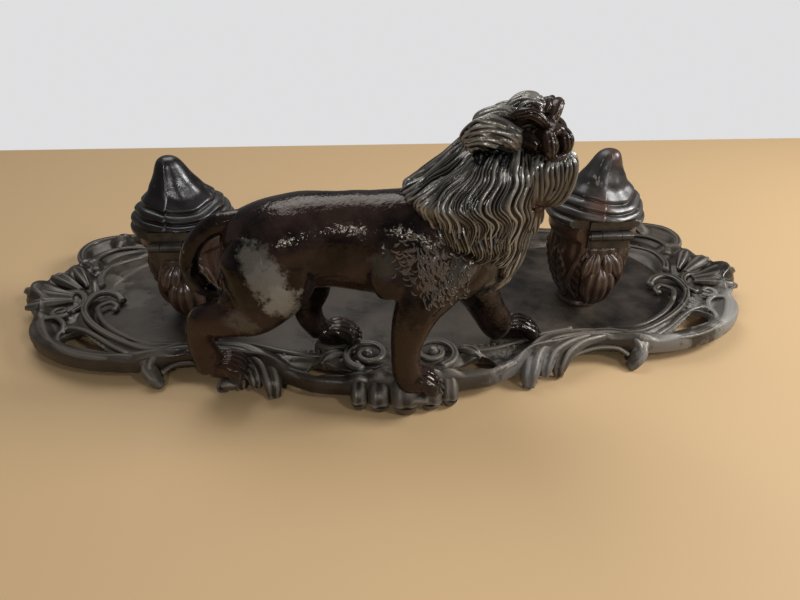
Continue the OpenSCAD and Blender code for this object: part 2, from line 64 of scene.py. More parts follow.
FLOOR_COLOUR = (0.46, 0.31, 0.158, 1)
FLOOR_REACH, FLOOR_BACK = 3, 0.278
WALL_COLOUR = (0.74, 0.74, 0.75, 1)
ROOM_COLOUR, ROOM_LIGHT = (0.93, 0.95, 1.0, 1), 0.15
floor_mesh = bpy.data.meshes.new("floor")
floor_mesh.from_pydata([(-FLOOR_REACH, -FLOOR_REACH, 0), (FLOOR_REACH, -FLOOR_REACH, 0),
                        (FLOOR_REACH, FLOOR_BACK, 0), (-FLOOR_REACH, FLOOR_BACK, 0)], [], [(0, 1, 2, 3)])
floor = bpy.data.objects.new("floor", floor_mesh)
bpy.context.scene.collection.objects.link(floor)
floor_paint = bpy.data.materials.new("floor")
floor_paint.use_nodes = True
floor_look = floor_paint.node_tree.nodes["Principled BSDF"].inputs
floor_look["Base Color"].default_value = FLOOR_COLOUR
floor_look["Roughness"].default_value = 0.7
floor_mesh.materials.append(floor_paint)

# Each lamp's place and aim (mm), its width (m) and its power (W)
SOFT_BOXES = {
    "light_behind": ((-170, 420, 860), (-40, 20, 40), 0.60, 4.9),
    "light_front_left": ((-160, -900, 540), (0, -40, 50), 0.07, 1.9),
    "light_front_right": ((420, -520, 520), (40, -40, 60), 0.09, 1.5),
    "light_right": ((640, -60, 460), (40, -20, 40), 0.24, 5.6),
}
for name, (place, aim, size, power) in SOFT_BOXES.items():
    light = bpy.data.lights.new(name, "AREA")
    light.size = size
    light.energy = power
    lamp = bpy.data.objects.new(name, light)
    lamp.location = Vector(place) * MM
    lamp.rotation_euler = (Vector(aim) * MM - lamp.location).to_track_quat("-Z", "Y").to_euler()
    bpy.context.scene.collection.objects.link(lamp)


def node(tree, kind, sockets=(), **settings):
    """A new shader node. Its settings come first, and then each socket gets a value, or a link from the
    output of another node."""
    made = tree.nodes.new("ShaderNode" + kind)
    for name, value in settings.items():
        setattr(made, name, value)
    for name, value in dict(sockets).items():
        if isinstance(value, bpy.types.NodeSocket):
            tree.links.new(value, made.inputs[name])
        else:
            made.inputs[name].default_value = value
    return made


world = bpy.data.worlds.new("room")
world.use_nodes = True
room = world.node_tree.nodes["Background"]
room.inputs["Color"].default_value = ROOM_COLOUR
room.inputs["Strength"].default_value = ROOM_LIGHT
seen = node(world.node_tree, "LightPath")
wall = node(world.node_tree, "Background", {"Color": WALL_COLOUR})
pick = node(world.node_tree, "MixShader",
            {"Fac": seen.outputs["Is Camera Ray"], 1: room.outputs[0], 2: wall.outputs[0]})
world.node_tree.links.new(pick.outputs[0], world.node_tree.nodes["World Output"].inputs["Surface"])
bpy.context.scene.world = world
bpy.context.scene.view_settings.view_transform = "Standard"

# ---------------------------------------------------------------- tray
# One casting under a dark brown finish: a pan inside a wide rim of scrolls, shells and pierced
# openings, on leaf feet. The pots and the lion are screwed to it from underneath.

TRAY_HALF = np.array([183, 77.5])
EDGE_POINTS = 720
UNDERSIDE, PAN_TOP = 2.5, 4.97
# Right halves of the rim's edge and the pan's edge, front to back, as shares of the half sizes
RIM_HALF = [
    (0, -0.905), (0.066, -0.885), (0.13, -0.86), (0.2, -0.83), (0.255, -0.76), (0.305, -0.7),
    (0.365, -0.645), (0.42, -0.595), (0.485, -0.57), (0.55, -0.58), (0.615, -0.6), (0.695, -0.58),
    (0.78, -0.52), (0.86, -0.4), (0.91, -0.25), (0.925, -0.09), (0.945, 0.03), (0.985, 0.12), (0.97, 0.25),
    (0.93, 0.34), (0.94, 0.44), (0.915, 0.56), (0.935, 0.7), (0.915, 0.84), (0.86, 0.94), (0.79, 0.975),
    (0.7, 0.94), (0.6, 0.9), (0.5, 0.92), (0.38, 0.94), (0.25, 0.9), (0.12, 0.94), (0, 0.97)]
PAN_HALF = [
    (0, -0.54), (0.055, -0.53), (0.11, -0.52), (0.16, -0.515), (0.21, -0.51), (0.25, -0.5), (0.295, -0.46),
    (0.34, -0.41), (0.405, -0.35), (0.48, -0.32), (0.55, -0.31), (0.615, -0.3), (0.68, -0.26),
    (0.73, -0.18), (0.77, -0.065), (0.79, 0.04), (0.8, 0.13), (0.8, 0.21), (0.795, 0.285), (0.785, 0.37),
    (0.77, 0.46), (0.755, 0.54), (0.73, 0.62), (0.69, 0.68), (0.645, 0.73), (0.6, 0.75), (0.545, 0.755),
    (0.48, 0.75), (0.415, 0.74), (0.33, 0.74), (0.24, 0.74), (0.12, 0.75), (0, 0.75)]
# The casting's section: share of the way from the rim's edge to the pan's, and height
RIM_SECTION = [
    (1.0, 2.5), (0.7, 3.4), (0.4, 5.2), (0.14, 4.6), (0.02, 4.6), (0, 6.5), (0, 9), (0.03, 10.9),
    (0.09, 11.5), (0.17, 11.2), (0.28, 9.4), (0.42, 8.0), (0.55, 8.3), (0.68, 8.6), (0.82, 7.2),
    (0.93, 5.5), (1.0, 5)]


def curve(points, count):
    """Rows of points joined smoothly. Between rows b and c, with a before and d after, the value at t is
    half of 2b + (c - a)t + (2a - 5b + 4c - d)t^2 + (3b - a - 3c + d)t^3."""
    p = np.asarray(points, float)
    q = np.vstack([2 * p[0] - p[1], p, 2 * p[-1] - p[-2]])
    s = np.linspace(0, len(p) - 1 - 1e-9, count)
    i = s.astype(int)
    t = (s - i)[:, None]
    a, b, c, d = q[i], q[i + 1], q[i + 2], q[i + 3]
    return 0.5 * (2 * b + (c - a) * t + (2 * a - 5 * b + 4 * c - d) * t**2 + (3 * b - a - 3 * c + d) * t**3)


def unit(v):
    """Vectors divided by their lengths."""
    return v / np.maximum(np.linalg.norm(v, axis=-1, keepdims=True), 1e-9)


def skin(rings):
    """A closed solid from rings (rows, round, 3), with a fan over each end: points, quads, triangles."""
    rows, sides = rings.shape[:2]
    corner = np.arange(rows * sides).reshape(rows, sides)
    a, b = corner[:-1], corner[1:]
    quads = np.stack([a, np.roll(a, -1, 1), np.roll(b, -1, 1), b], -1).reshape(-1, 4)
    n = rows * sides
    first, last = corner[0], corner[-1]
    fans = np.vstack([np.stack([np.roll(first, -1), first, np.full(sides, n)], -1),
                      np.stack([last, np.roll(last, -1), np.full(sides, n + 1)], -1)])
    return np.vstack([rings.reshape(-1, 3), rings[0].mean(0), rings[-1].mean(0)]), quads, fans


def sweep(stations, facing=(0, 0, 1), across=None, rings=40, sides=24, reeds=0, groove=0.0):
    """A closed solid along the curve through stations (x, y, z, half width, half height). At angle q its
    skin is centre + width cos q side + height sin q up, and reeds cut cosine grooves into its upper half."""
    s = curve(stations, rings)
    centre, width, height = s[:, :3], np.maximum(s[:, 3], 0.05), np.maximum(s[:, 4], 0.05)
    ahead = unit(np.gradient(centre, axis=0))
    side = unit(np.cross(ahead, facing)) if across is None else np.broadcast_to(across, ahead.shape)
    up = np.cross(side, ahead)
    q = -np.arange(sides) * 2 * np.pi / sides
    cut = groove * (0.5 + 0.5 * np.cos(2 * np.pi * reeds * np.cos(q))) * (np.sin(q) > 0)
    return skin(centre[:, None] + (width[:, None] * np.cos(q))[..., None] * side[:, None]
                + (height[:, None] * np.sin(q) * (1 - cut))[..., None] * up[:, None])


def mirrored(solid):
    """The same solid on the other side of the YZ plane, with its faces turned back outwards."""
    points, quads, fans = solid
    return points * (-1, 1, 1), quads[:, ::-1], fans[:, ::-1]


def shape(name, solids):
    """One mesh object from solids (points in mm, quads, triangles)."""
    points, quads, fans, base = [], [], [], 0
    for p, q, f in solids:
        points.append(p)
        quads.append(q + base)
        fans.append(f + base)
        base += len(p)
    points, quads, fans = np.vstack(points) * MM, np.vstack(quads), np.vstack(fans)
    mesh = bpy.data.meshes.new(name)
    mesh.vertices.add(len(points))
    mesh.vertices.foreach_set("co", points.ravel())
    mesh.loops.add(quads.size + fans.size)
    mesh.loops.foreach_set("vertex_index", np.concatenate([quads.ravel(), fans.ravel()]).astype(np.int32))
    mesh.polygons.add(len(quads) + len(fans))
    total = np.concatenate([np.full(len(quads), 4), np.full(len(fans), 3)]).astype(np.int32)
    mesh.polygons.foreach_set("loop_start", np.concatenate([[0], np.cumsum(total)[:-1]]).astype(np.int32))
    mesh.update(calc_edges=True)
    mesh.validate()
    made = bpy.data.objects.new(name, mesh)
    bpy.context.scene.collection.objects.link(made)
    mesh.shade_smooth()
    return made


def tray_edge(half):
    """The whole closed outline, in mm, from its right half and that half's mirror image."""
    right_half = np.array(half)
    left_half = right_half[-2:0:-1] * (-1, 1)
    whole = np.vstack([right_half, left_half, right_half[:1]])
    return curve(whole, EDGE_POINTS + 1)[:-1] * TRAY_HALF


rim_edge, pan_edge = tray_edge(RIM_HALF), tray_edge(PAN_HALF)


def tray_ring(share, height):
    """The closed line at that share of the way from the rim's edge to the pan's, and at that height."""
    flat = rim_edge + (pan_edge - rim_edge) * share
    return np.column_stack([flat, np.full(len(flat), height)])


ornament, ridges = [], []
# How deep scrolls lie in the casting (mm), how flat they are, and the share their grooves cut away
SINK, SCROLL_FLAT, SCROLL_GROOVE = 0.5, 0.85, 0.3


def both(solid):
    """Adds a solid of the right half, and its mirror image, to the carving."""
    ornament.extend([solid, mirrored(solid)])


def scroll(path, r0, r1, reeds=0, rings=60):
    """A raised scroll through points (x, y, z) whose half width runs evenly from r0 to r1."""
    taper = np.linspace(r0, r1, len(path))
    stations = np.column_stack([np.array(path) - (0, 0, SINK), taper, taper * SCROLL_FLAT])
    ridges.append(curve(stations, 70)[:, [0, 1, 3]])
    return sweep(stations, rings=rings, sides=20, reeds=reeds, groove=SCROLL_GROOVE)


def volute(x, y, z, outer, inner, start, stop, r0, r1, reeds=0):
    """A spiral, raised a little at its eye: the radius runs from outer to inner while the angle runs from
    start to stop."""
    t = np.linspace(0, 1, 16)
    q = np.radians(start + (stop - start) * t)
    r = outer + (inner - outer) * t
    path = np.column_stack([x + r * np.cos(q), y + r * np.sin(q), z + 0.6 * t])
    return scroll(path, r0, r1, reeds=reeds, rings=80)


def lobe(path, widest, thick, reeds=2, groove=0.3, blunt=0.5):
    """A carved leaf lobe through points. Its half sizes are widest and thick, times sin(pi (0.12 + 0.6 t)),
    times 1 - (1 - blunt) t^6 at the share t of its length."""
    t = np.linspace(0, 1, len(path))
    swell = np.clip(np.sin(np.pi * (0.12 + 0.6 * t)), 0, 1) * (1 - (1 - blunt) * t**6)
    stations = np.column_stack([path, widest * swell, thick * swell])
    ridges.append(curve(stations, 40)[:, [0, 1, 3]])
    return sweep(stations, rings=44, sides=26, reeds=reeds, groove=groove)


# front: the volutes under the forepaw, the shell below them and the pierced panels beside them
both(volute(14, -46.3, 10.4, 10.4, 3.0, -75, 400, 1.9, 1.1, reeds=1))
both(sweep([
    (14, -46.3, 9, 2.2, 2.2), (14, -46.3, 11, 2.2, 2.2), (14, -46.3, 12.4, 1.2, 1.2)], facing=(0, 1, 0),
    rings=12))
both(scroll([
    (14, -60.5, 10.4), (21, -63, 10), (30, -63.2, 10), (38, -61.6, 10.4), (47, -57, 11.2), (56, -49.4, 12),
    (68, -40.6, 12), (80, -37, 11.4), (90, -36, 10.4)], 1.5, 1.0, reeds=1))
both(scroll([
    (20, -40.5, 8.6), (30, -44, 9.4), (40, -44.2, 9.8), (52, -40.5, 10.2), (66, -34.6, 10.2),
    (80, -30.5, 9.6)], 1.5, 0.9))
for x in (33, 35.8, 38.6, 41.4, 44.2, 47, 49.8):
    both(scroll([
        (x, -41.6 + 0.1 * (x - 33), 9.6), (x + 0.2, -44.4 + 0.1 * (x - 33), 9.4),
        (x + 0.4, -46.4 + 0.1 * (x - 33), 8.2)], 0.95, 0.6, rings=14))
both(lobe([(24, -45, 9.6), (27.5, -46.4, 11), (31.5, -48.4, 10.6), (34, -50.6, 9.2)], 2.6, 2.2, reeds=1))
for x, tip, wide in ((10, -71.5, 4.7), (18, -69.8, 3.6)):
    both(lobe([
        (0.75 * x, -56, 8.4), (0.92 * x, -61, 10), (x, tip + 4, 9.2), (x + 0.3, tip + 0.4, 5),
        (x + 0.2, tip + 1.0, 1.2)], wide, 3.3, reeds=1, groove=0.16, blunt=0.9))
ornament.append(lobe([
    (0, -60, 9), (0, -66, 11.6), (0, -70.6, 11.2), (0, -74, 6.6), (0, -73.2, 1.2)], 6.0, 3.3, reeds=1,
    groove=0.25, blunt=0.85))
both(volute(8.6, -63.5, 11.2, 4.6, 1.6, 200, -120, 1.2, 0.8))
# front: the leaf foot, the scroll above it and the hooked foot at the scroll's end
for path, wide in (
        ([(91, -37, 11), (79, -40, 12.2), (66, -44.2, 12.6), (57.4, -51, 11), (53.6, -59, 7),
          (53, -61.6, 1.0)], 4.5),
        ([(94, -38, 10.9), (84, -41.4, 12), (73, -46, 12.2), (64.6, -51, 10.4), (61, -56.2, 7),
          (60.4, -57.6, 3.4)], 3.4),
        ([(97, -38.8, 10.7), (89, -41.8, 11.6), (79, -45.4, 11.6), (71.6, -50, 9.6), (68, -54, 6),
          (67.4, -55.2, 1.0)], 3.7)):
    both(lobe(path, wide, 3.0, reeds=1, groove=0.42, blunt=0.7))
both(scroll([
    (64, -51, 10.2), (70, -46.4, 11.6), (78, -41.6, 12.2), (88, -39, 12.2), (97, -39.4, 12),
    (104, -42.6, 11.2), (106.6, -47.4, 8.4), (104.6, -50, 5), (102.4, -49.6, 2.6)], 1.9, 2.9, reeds=1))
both(scroll([(70, -52, 7.2), (78, -47.6, 8.2), (87, -45, 8.6), (96, -45, 8), (101, -47.6, 6)], 1.4, 1.2))
both(lobe([
    (111, -42.4, 10.6), (107.4, -45.6, 9), (105, -48.6, 6), (102.4, -50, 2.6), (101.4, -49.8, 1.0)], 3.5,
    3.2, reeds=0, blunt=0.95))
# the sweep of the rim beyond it, round the pan's end and the pierced teardrop
both(scroll([
    (104, -37.5, 10.6), (114, -41.5, 11.4), (126, -43.5, 11.7), (140, -39.6, 11.9), (152, -30.5, 12.1),
    (160, -19, 12.3), (162.4, -12.5, 12.2), (157.6, -11, 11.8), (152.6, -15.5, 11.4), (150.6, -22, 10.6)],
    1.3, 1.1))
both(scroll([
    (117, -38.5, 9.6), (126, -32.5, 10.2), (135, -25.2, 10.6), (142.5, -20.2, 10.8), (149.4, -18.6, 10.8),
    (151.6, -24.6, 10.6), (146.6, -33, 10.4), (136, -39.4, 10.2), (125, -42.2, 10)], 1.0, 1.0))
both(scroll([
    (103, -34.5, 8.8), (113, -34.4, 10), (126, -27.6, 10.8), (137, -18.8, 11.1), (144.6, -9.6, 11.2),
    (148.2, -1, 11.1), (147.8, 9, 10.7), (143.6, 13.6, 10), (137.6, 12, 9), (134, 8, 8)], 1.2, 2.0,
    reeds=1))
both(scroll([
    (98, -29.5, 7.8), (113, -29.4, 9.2), (125, -23.2, 9.9), (134, -15, 10.1), (140.2, -6, 9.9),
    (142.8, 1, 9.4), (139.6, 6.4, 8.6), (136, 4.4, 7.9), (136.2, 1, 7.4)], 0.9, 1.5))
# the leaf handle, its ribs, spikes and the little volute in front of it
for path, wide, blunt in (
        ([(157, 9, 11), (166, 9, 12.8), (174, 12, 13), (179.9, 15.4, 11.8)], 5.4, 0.95),
        ([(156, 5, 10.8), (164, 1, 12.2), (170, -1, 12.2), (175.0, -0.2, 10.6)], 3.4, 0.75),
        ([(156, 15, 11), (163, 19.4, 12.6), (169.6, 24, 12.8), (173.8, 28, 11.2)], 3.9, 0.75),
        ([(154, 19, 10.6), (158.6, 25.4, 12), (162.4, 31, 12), (166.6, 36.4, 11)], 3.2, 0.75)):
    both(lobe(path, wide, 2.6, reeds=1, groove=0.4, blunt=blunt))
both(volute(157.4, -5.8, 11.6, 4.4, 1.3, -150, 250, 1.3, 0.8))
both(scroll([
    (163, 11.5, 11.4), (156, 12.4, 11), (151.6, 8, 10.6), (150.6, 1, 10.6), (152.6, -5, 11)], 1.7, 1.2,
    reeds=1))
both(scroll([(163, -10, 11.4), (168.4, -6.4, 11.6), (171, -1.4, 11.8), (169.4, 3, 12)], 1.6, 1.0))
both(scroll([
    (147.6, 20, 10.2), (150.8, 28, 10.4), (150.2, 38, 10.4), (146.4, 45, 9.8), (141, 51, 8.8),
    (136, 56, 8)], 1.9, 1.1, reeds=1))
# the back corner's long scroll and the back rim
both(scroll([
    (112, 68, 10.6), (128, 71.4, 11.4), (144, 73.4, 12), (157, 71.6, 12.3), (166.6, 65.4, 12.5),
    (169.4, 56, 12.4), (167.6, 47.6, 12), (163.4, 42.6, 11.4), (159.6, 45.6, 11)], 1.5, 2.1, reeds=1))
both(scroll([
    (134, 63, 9), (144, 63.4, 10), (153, 60, 10.8), (158.4, 53, 11.2), (159.6, 45, 11.2),
    (156.6, 37, 10.8)], 1.2, 1.6))
both(scroll([
    (0, 71.6, 11.6), (16, 69.4, 11.4), (34, 66.6, 11.4), (54, 69.6, 11.4), (74, 71.4, 11.4), (96, 68, 11.2),
    (114, 67, 10.8)], 1.8, 1.4, reeds=1))
for x, y in ((66, 70.4), (152, 68.4)):
    both(lobe([
        (x, y - 8, 11), (x, y - 2, 11.4), (x + 0.5, y + 2.4, 8), (x + 0.5, y + 2.8, 3.4),
        (x + 0.5, y + 1.6, 0.9)], 3.4, 2.8))
# the pads under the paws
for x, y, wide in ((-71, -56, 0.72), (4, -70.5, 1)):
    ornament.append(sweep([
        (x, y - 4.6, 6.2, 3 * wide, 2.4), (x, y - 3, 6.8, 5 * wide, 3.2), (x, y + 6, 7, 5.6 * wide, 3.2),
        (x, y + 13, 6.8, 4 * wide, 2.4)], rings=16, sides=24))
for x, y in ((-28.5, -34.5), (50.5, -35.5)):
    ornament.append(sweep([
        (x, y, 4.2, 9.5, 6.6), (x, y, 7.5, 9, 6.2), (x, y, 9.7, 7.4, 5), (x, y, 10.1, 4, 3)],
        facing=(0, 1, 0), rings=14, sides=30))

# the dish itself: its upper side swells up to every scroll and lobe, and the swell fades out over a share
# of the section at the rim's edge and at the pan
UPPER_Z, UPPER_SHARE = 4.9, 0.02
SWELL_RISE, SWELL_RADII, SWELL_MORE, SEARCH = 1.15, 2.2, 1.6, 8
EDGE_FADE, FADE_END = 0.12, 1.06


def relief(flat):
    """Height of the casting's swell at plan points: for each ridge, 1.15 radii times (1 - u^2)^2, where u
    is the distance over 2.2 radii + 1.6 mm, and the highest ridge counts. Both halves are alike."""
    place = np.hstack([np.abs(flat[:, :1]), flat[:, 1:]])
    swell = np.zeros(len(place))
    for line in ridges:
        low, high = line[:, :2].min(0) - SEARCH, line[:, :2].max(0) + SEARCH
        near = np.flatnonzero(((place > low) & (place < high)).all(1))
        if len(near) == 0:
            continue
        gap = np.linalg.norm(place[near][:, None] - line[None, :, :2], axis=2)
        gap /= SWELL_RADII * line[:, 2] + SWELL_MORE
        best = gap.argmin(1)
        u = np.minimum(gap[np.arange(len(near)), best], 1)
        swell[near] = np.maximum(swell[near], SWELL_RISE * line[best, 2] * (1 - u * u) ** 2)
    return swell


tray_rings = []
for share, height in curve(RIM_SECTION, 96):
    ring = tray_ring(share, height)
    if height > UPPER_Z and share > UPPER_SHARE:
        fade = min(1.0, share / EDGE_FADE) * min(1.0, (FADE_END - share) / EDGE_FADE)
        ring[:, 2] += fade * (relief(ring[:, :2]) - SINK)
    tray_rings.append(ring)
pan_middle = pan_edge.mean(0)


def pan_ring(share, height):
    """The pan's outline drawn in to that share of its size about its middle, at that height."""
    return np.column_stack([pan_middle + (pan_edge - pan_middle) * share, np.full(len(pan_edge), height)])


# the pan's floor has a ring at these shares of its outline
floor_shares = (0.85, 0.96)
tray_rings = ([pan_ring(s, UNDERSIDE) for s in floor_shares] + tray_rings
              + [pan_ring(s, PAN_TOP) for s in floor_shares[::-1]])
tray = shape("tray_dish", [skin(np.array(tray_rings))])

# the pierced openings, cut through the finished dish
ARC_POINTS = 25


def drop_outline(x, y, reach, r, turn):
    """A teardrop in plan: two thirds of a circle of radius r, and a point at that reach, turned about
    (x, y)."""
    q = np.radians(np.linspace(60, 300, ARC_POINTS))
    flat = np.vstack([np.column_stack([r * np.cos(q) + r - reach / 2, r * np.sin(q)]), [[reach, 0]]])
    c, s = math.cos(math.radians(turn)), math.sin(math.radians(turn))
    return flat @ np.array([[c, s], [-s, c]]) + (x, y)


# x, y, reach, end radius and turn of each pierced opening
SLOTS = [
    (142, -28, 17, 4.9, 211), (-142, -28, 17, 4.9, -31), (33.5, -56.4, 12.5, 5.0, 188),
    (-33.5, -56.4, 12.5, 5.0, -8), (146.8, 47.5, 6, 2.0, -62), (-146.8, 47.5, 6, 2.0, 242)]
# Each is cut on a slant: height, and how far back the cut lies there
SLANT = [(-2, 9), (18, -5)]
cutter = shape("tray_slots", [skin(np.stack([
    np.column_stack([drop_outline(*slot) + (0, back), np.full(ARC_POINTS + 1, z)]) for z, back in SLANT]))
    for slot in SLOTS])
pierce = tray.modifiers.new("pierce", "BOOLEAN")
pierce.operation = "DIFFERENCE"
pierce.solver = "EXACT"
pierce.object = cutter
pierced = bpy.data.meshes.new_from_object(tray.evaluated_get(bpy.context.evaluated_depsgraph_get()))
tray.modifiers.clear()
tray.data = pierced
bpy.data.objects.remove(cutter)
pierced.shade_smooth()
even = tray.modifiers.new("even_shading", "WEIGHTED_NORMAL")
even.weight = 100

# the feet are filed level, just clear of the table
FILED = (-np.inf, -np.inf, 0.05)
carving = shape("tray_carving", [
    (np.maximum(points, FILED), quads, fans) for points, quads, fans in ornament])

# its finish: dark brown; darker in the hollows, which is painted shade; lighter on the edges, partly from
# wear and partly painted highlight; and paler along the right-hand side, partly from wear and partly painted
# light from the right
GRAIN_HEIGHT = 0.6 * MM
# A patch's edge is torn by a noise. The paint starts where TORN times the noise, plus a nearness that runs
# from 0 to 1, reaches TORN_LOW, and it is full at TORN_HIGH.
TORN, TORN_LOW, TORN_HIGH = 1.9, 1.45, 1.75


def patina_group():
    """Masks and a normal that every old metal here shares. Recess Shade follows the surface's pointiness into
    recesses, for painted shade there, and Rubbed And Glint follows it out onto edges, for wear from rubbing
    and painted highlight; Mottle is a coarse noise, and Normal bumps a fine noise stretched along Z."""
    group = bpy.data.node_groups.new("patina", "ShaderNodeTree")
    for name, value in (("Mottle Scale", 60.0), ("Grain Scale", 900.0), ("Grain Depth", 0.1),
                        ("Stretch", 1.0)):
        socket = group.interface.new_socket(name, in_out="INPUT", socket_type="NodeSocketFloat")
        socket.default_value = value
    for name in ("Recess Shade", "Rubbed And Glint", "Mottle"):
        group.interface.new_socket(name, in_out="OUTPUT", socket_type="NodeSocketFloat")
    group.interface.new_socket("Normal", in_out="OUTPUT", socket_type="NodeSocketVector")
    given, put = group.nodes.new("NodeGroupInput").outputs, group.nodes.new("NodeGroupOutput").inputs
    place = node(group, "TexCoord").outputs["Object"]
    edge = node(group, "NewGeometry").outputs["Pointiness"]
    squash = node(group, "CombineXYZ", {"X": 1, "Y": 1, "Z": given["Stretch"]})
    along = node(group, "VectorMath", {0: place, 1: squash.outputs[0]}, operation="MULTIPLY")
    mottle = node(group, "TexNoise",
                  {"Detail": 6, "Roughness": 0.62, "Scale": given["Mottle Scale"], "Vector": place})
    grain = node(group, "TexNoise",
                 {"Detail": 4, "Scale": given["Grain Scale"], "Vector": along.outputs[0]})
    # the first mask darkens recesses with painted shade, and the second lightens edges with wear from rubbing
    # and painted highlight
    for name, low, high, source in (("Recess Shade", 0.497, 0.455, edge), ("Rubbed And Glint", 0.508, 0.57, edge),
                                    ("Mottle", 0.38, 0.64, mottle.outputs["Fac"])):
        spread = node(group, "MapRange", {"From Min": low, "From Max": high, "Value": source})
        group.links.new(spread.outputs[0], put[name])
    bump = node(group, "Bump", {"Distance": GRAIN_HEIGHT, "Strength": given["Grain Depth"],
                                "Height": grain.outputs["Fac"]})
    group.links.new(bump.outputs["Normal"], put["Normal"])
    return group


patina = patina_group()


def old_metal(name, body, hollow, rubbed_and_glint, mottled, rough, metallic, mottle, grain=900, depth=0.12,
              stretch=1.0, rub_and_glint=0.6, patches=()):
    """A patinated metal: body colour to mottled by the mottle, to hollow in recesses as painted shade, to
    rubbed_and_glint on edges, which is partly wear from rubbing and partly painted highlight, and to a
    patch's own colour within reach (mm) of its middle, with a ragged edge. Some patches are wear and stains,
    some are painted shade, and some are partly wear and partly painted light."""
    made = bpy.data.materials.new(name)
    made.use_nodes = True
    tree = made.node_tree
    masks = node(tree, "Group", {"Mottle Scale": mottle, "Grain Scale": grain, "Grain Depth": depth,
                                 "Stretch": stretch}, node_tree=patina)
    colour = (*body, 1)
    # the hollow colour is painted shade in the recesses, and the edge colour is partly wear from rubbing and
    # partly painted highlight
    for mask, paint, share in (("Mottle", mottled, 1.0), ("Recess Shade", hollow, 0.9), ("Rubbed And Glint", rubbed_and_glint, rub_and_glint)):
        amount = node(tree, "Math", {0: masks.outputs[mask], 1: share}, operation="MULTIPLY")
        blend = node(tree, "Mix", {"Factor": amount.outputs[0], "A": colour, "B": (*paint, 1)},
                     data_type="RGBA")
        colour = blend.outputs["Result"]
    place = node(tree, "TexCoord").outputs["Object"]
    fleck = node(tree, "TexNoise", {"Scale": 210, "Detail": 8, "Roughness": 0.68, "Vector": place})
    for middle, reach, paint in patches:
        gap = node(tree, "VectorMath", {0: place, 1: Vector(middle) * MM}, operation="DISTANCE")
        near = node(tree, "MapRange", {"From Min": reach * MM, "From Max": 0.3 * reach * MM,
                                       "Value": gap.outputs["Value"]})
        ragged = node(tree, "Math", {0: fleck.outputs["Fac"], 1: TORN, 2: near.outputs[0]},
                      operation="MULTIPLY_ADD")
        edge = node(tree, "MapRange",
                    {"From Min": TORN_LOW, "From Max": TORN_HIGH, "Value": ragged.outputs[0]})
        blend = node(tree, "Mix", {"Factor": edge.outputs[0], "A": colour, "B": (*paint, 1)},
                     data_type="RGBA")
        colour = blend.outputs["Result"]
    gloss = node(tree, "MapRange",
                 {"To Min": rough[0], "To Max": rough[1], "Value": masks.outputs["Mottle"]})
    shader = tree.nodes["Principled BSDF"].inputs
    shader["Metallic"].default_value = metallic
    tree.links.new(colour, shader["Base Color"])
    tree.links.new(gloss.outputs[0], shader["Roughness"])
    tree.links.new(masks.outputs["Normal"], shader["Normal"])
    return made


tray_iron = old_metal(
    "tray_iron", body=(0.006, 0.004, 0.003), hollow=(0.003, 0.002, 0.0015), rubbed_and_glint=(0.16, 0.145, 0.12),
    mottled=(0.038, 0.029, 0.021), rough=(0.30, 0.60), metallic=0.0, mottle=36, depth=0.16, rub_and_glint=0.85,
    # the first three patches, along the right-hand side, are partly wear and partly painted light from the
    # right
    patches=(
        ((166, -28, 5), 46, (0.17, 0.16, 0.145)), ((118, -50, 4), 26, (0.15, 0.14, 0.125)),
        ((52, -62, 4), 26, (0.10, 0.095, 0.09)), ((-146, 27, 6), 15, (0.075, 0.068, 0.055)),
        ((-131, 14, 5), 15, (0.06, 0.054, 0.044))))
tray_iron.node_tree.nodes["Principled BSDF"].inputs["Specular Tint"].default_value = (1, 0.9, 0.78, 1)


def coat(piece, metal):
    """Gives a piece that finish and no other."""
    piece.data.materials.clear()
    piece.data.materials.append(metal)


for piece in (tray, carving):
    coat(piece, tray_iron)
    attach(piece, "stand")
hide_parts("tray")

# ---------------------------------------------------------------- pots
# Two copper-brown cast pots, carved with upright leaves and a hanging bud on the lion's side, each
# screwed to the pan through its foot. The rim is cut flat where the hinge sits.

WELL_X, WELL_Y = 94.8, 3.5
POT_R = 18.6
# How far the hinge's flat lies from the pot's middle, and the height that it starts at
HINGE_FLAT, HINGE_CUT = 16.0, 40.6
# Share of the pot's radius, and height
POT_LINE = [
    (0.50, 5), (0.585, 5), (0.585, 6.4), (0.54, 8), (0.60, 11), (0.70, 14.5), (0.82, 19.5), (0.91, 25),
    (0.97, 30), (1.0, 35), (0.985, 40), (0.99, 42.6), (1.06, 44.4), (1.085, 46), (1.075, 48.8),
    (1.03, 50.2), (0.95, 50.4), (0.80, 50.4), (0.735, 50.2)]
POT_BORE = [(0.735, 48), (0.73, 36), (0.66, 24), (0.52, 15), (0.3, 13.2)]
# How many leaves, their lowest and highest points, half width and rise, and how wide their edge slopes
LEAVES, LEAF_LOW, LEAF_HIGH, LEAF_HALF, LEAF_RISE, LEAF_EDGE = 8, 8, 39, 6.6, 1.25, 0.9
VEIN, RIB_PITCH, FLUTE_Z = 0.7, 4.6, 38


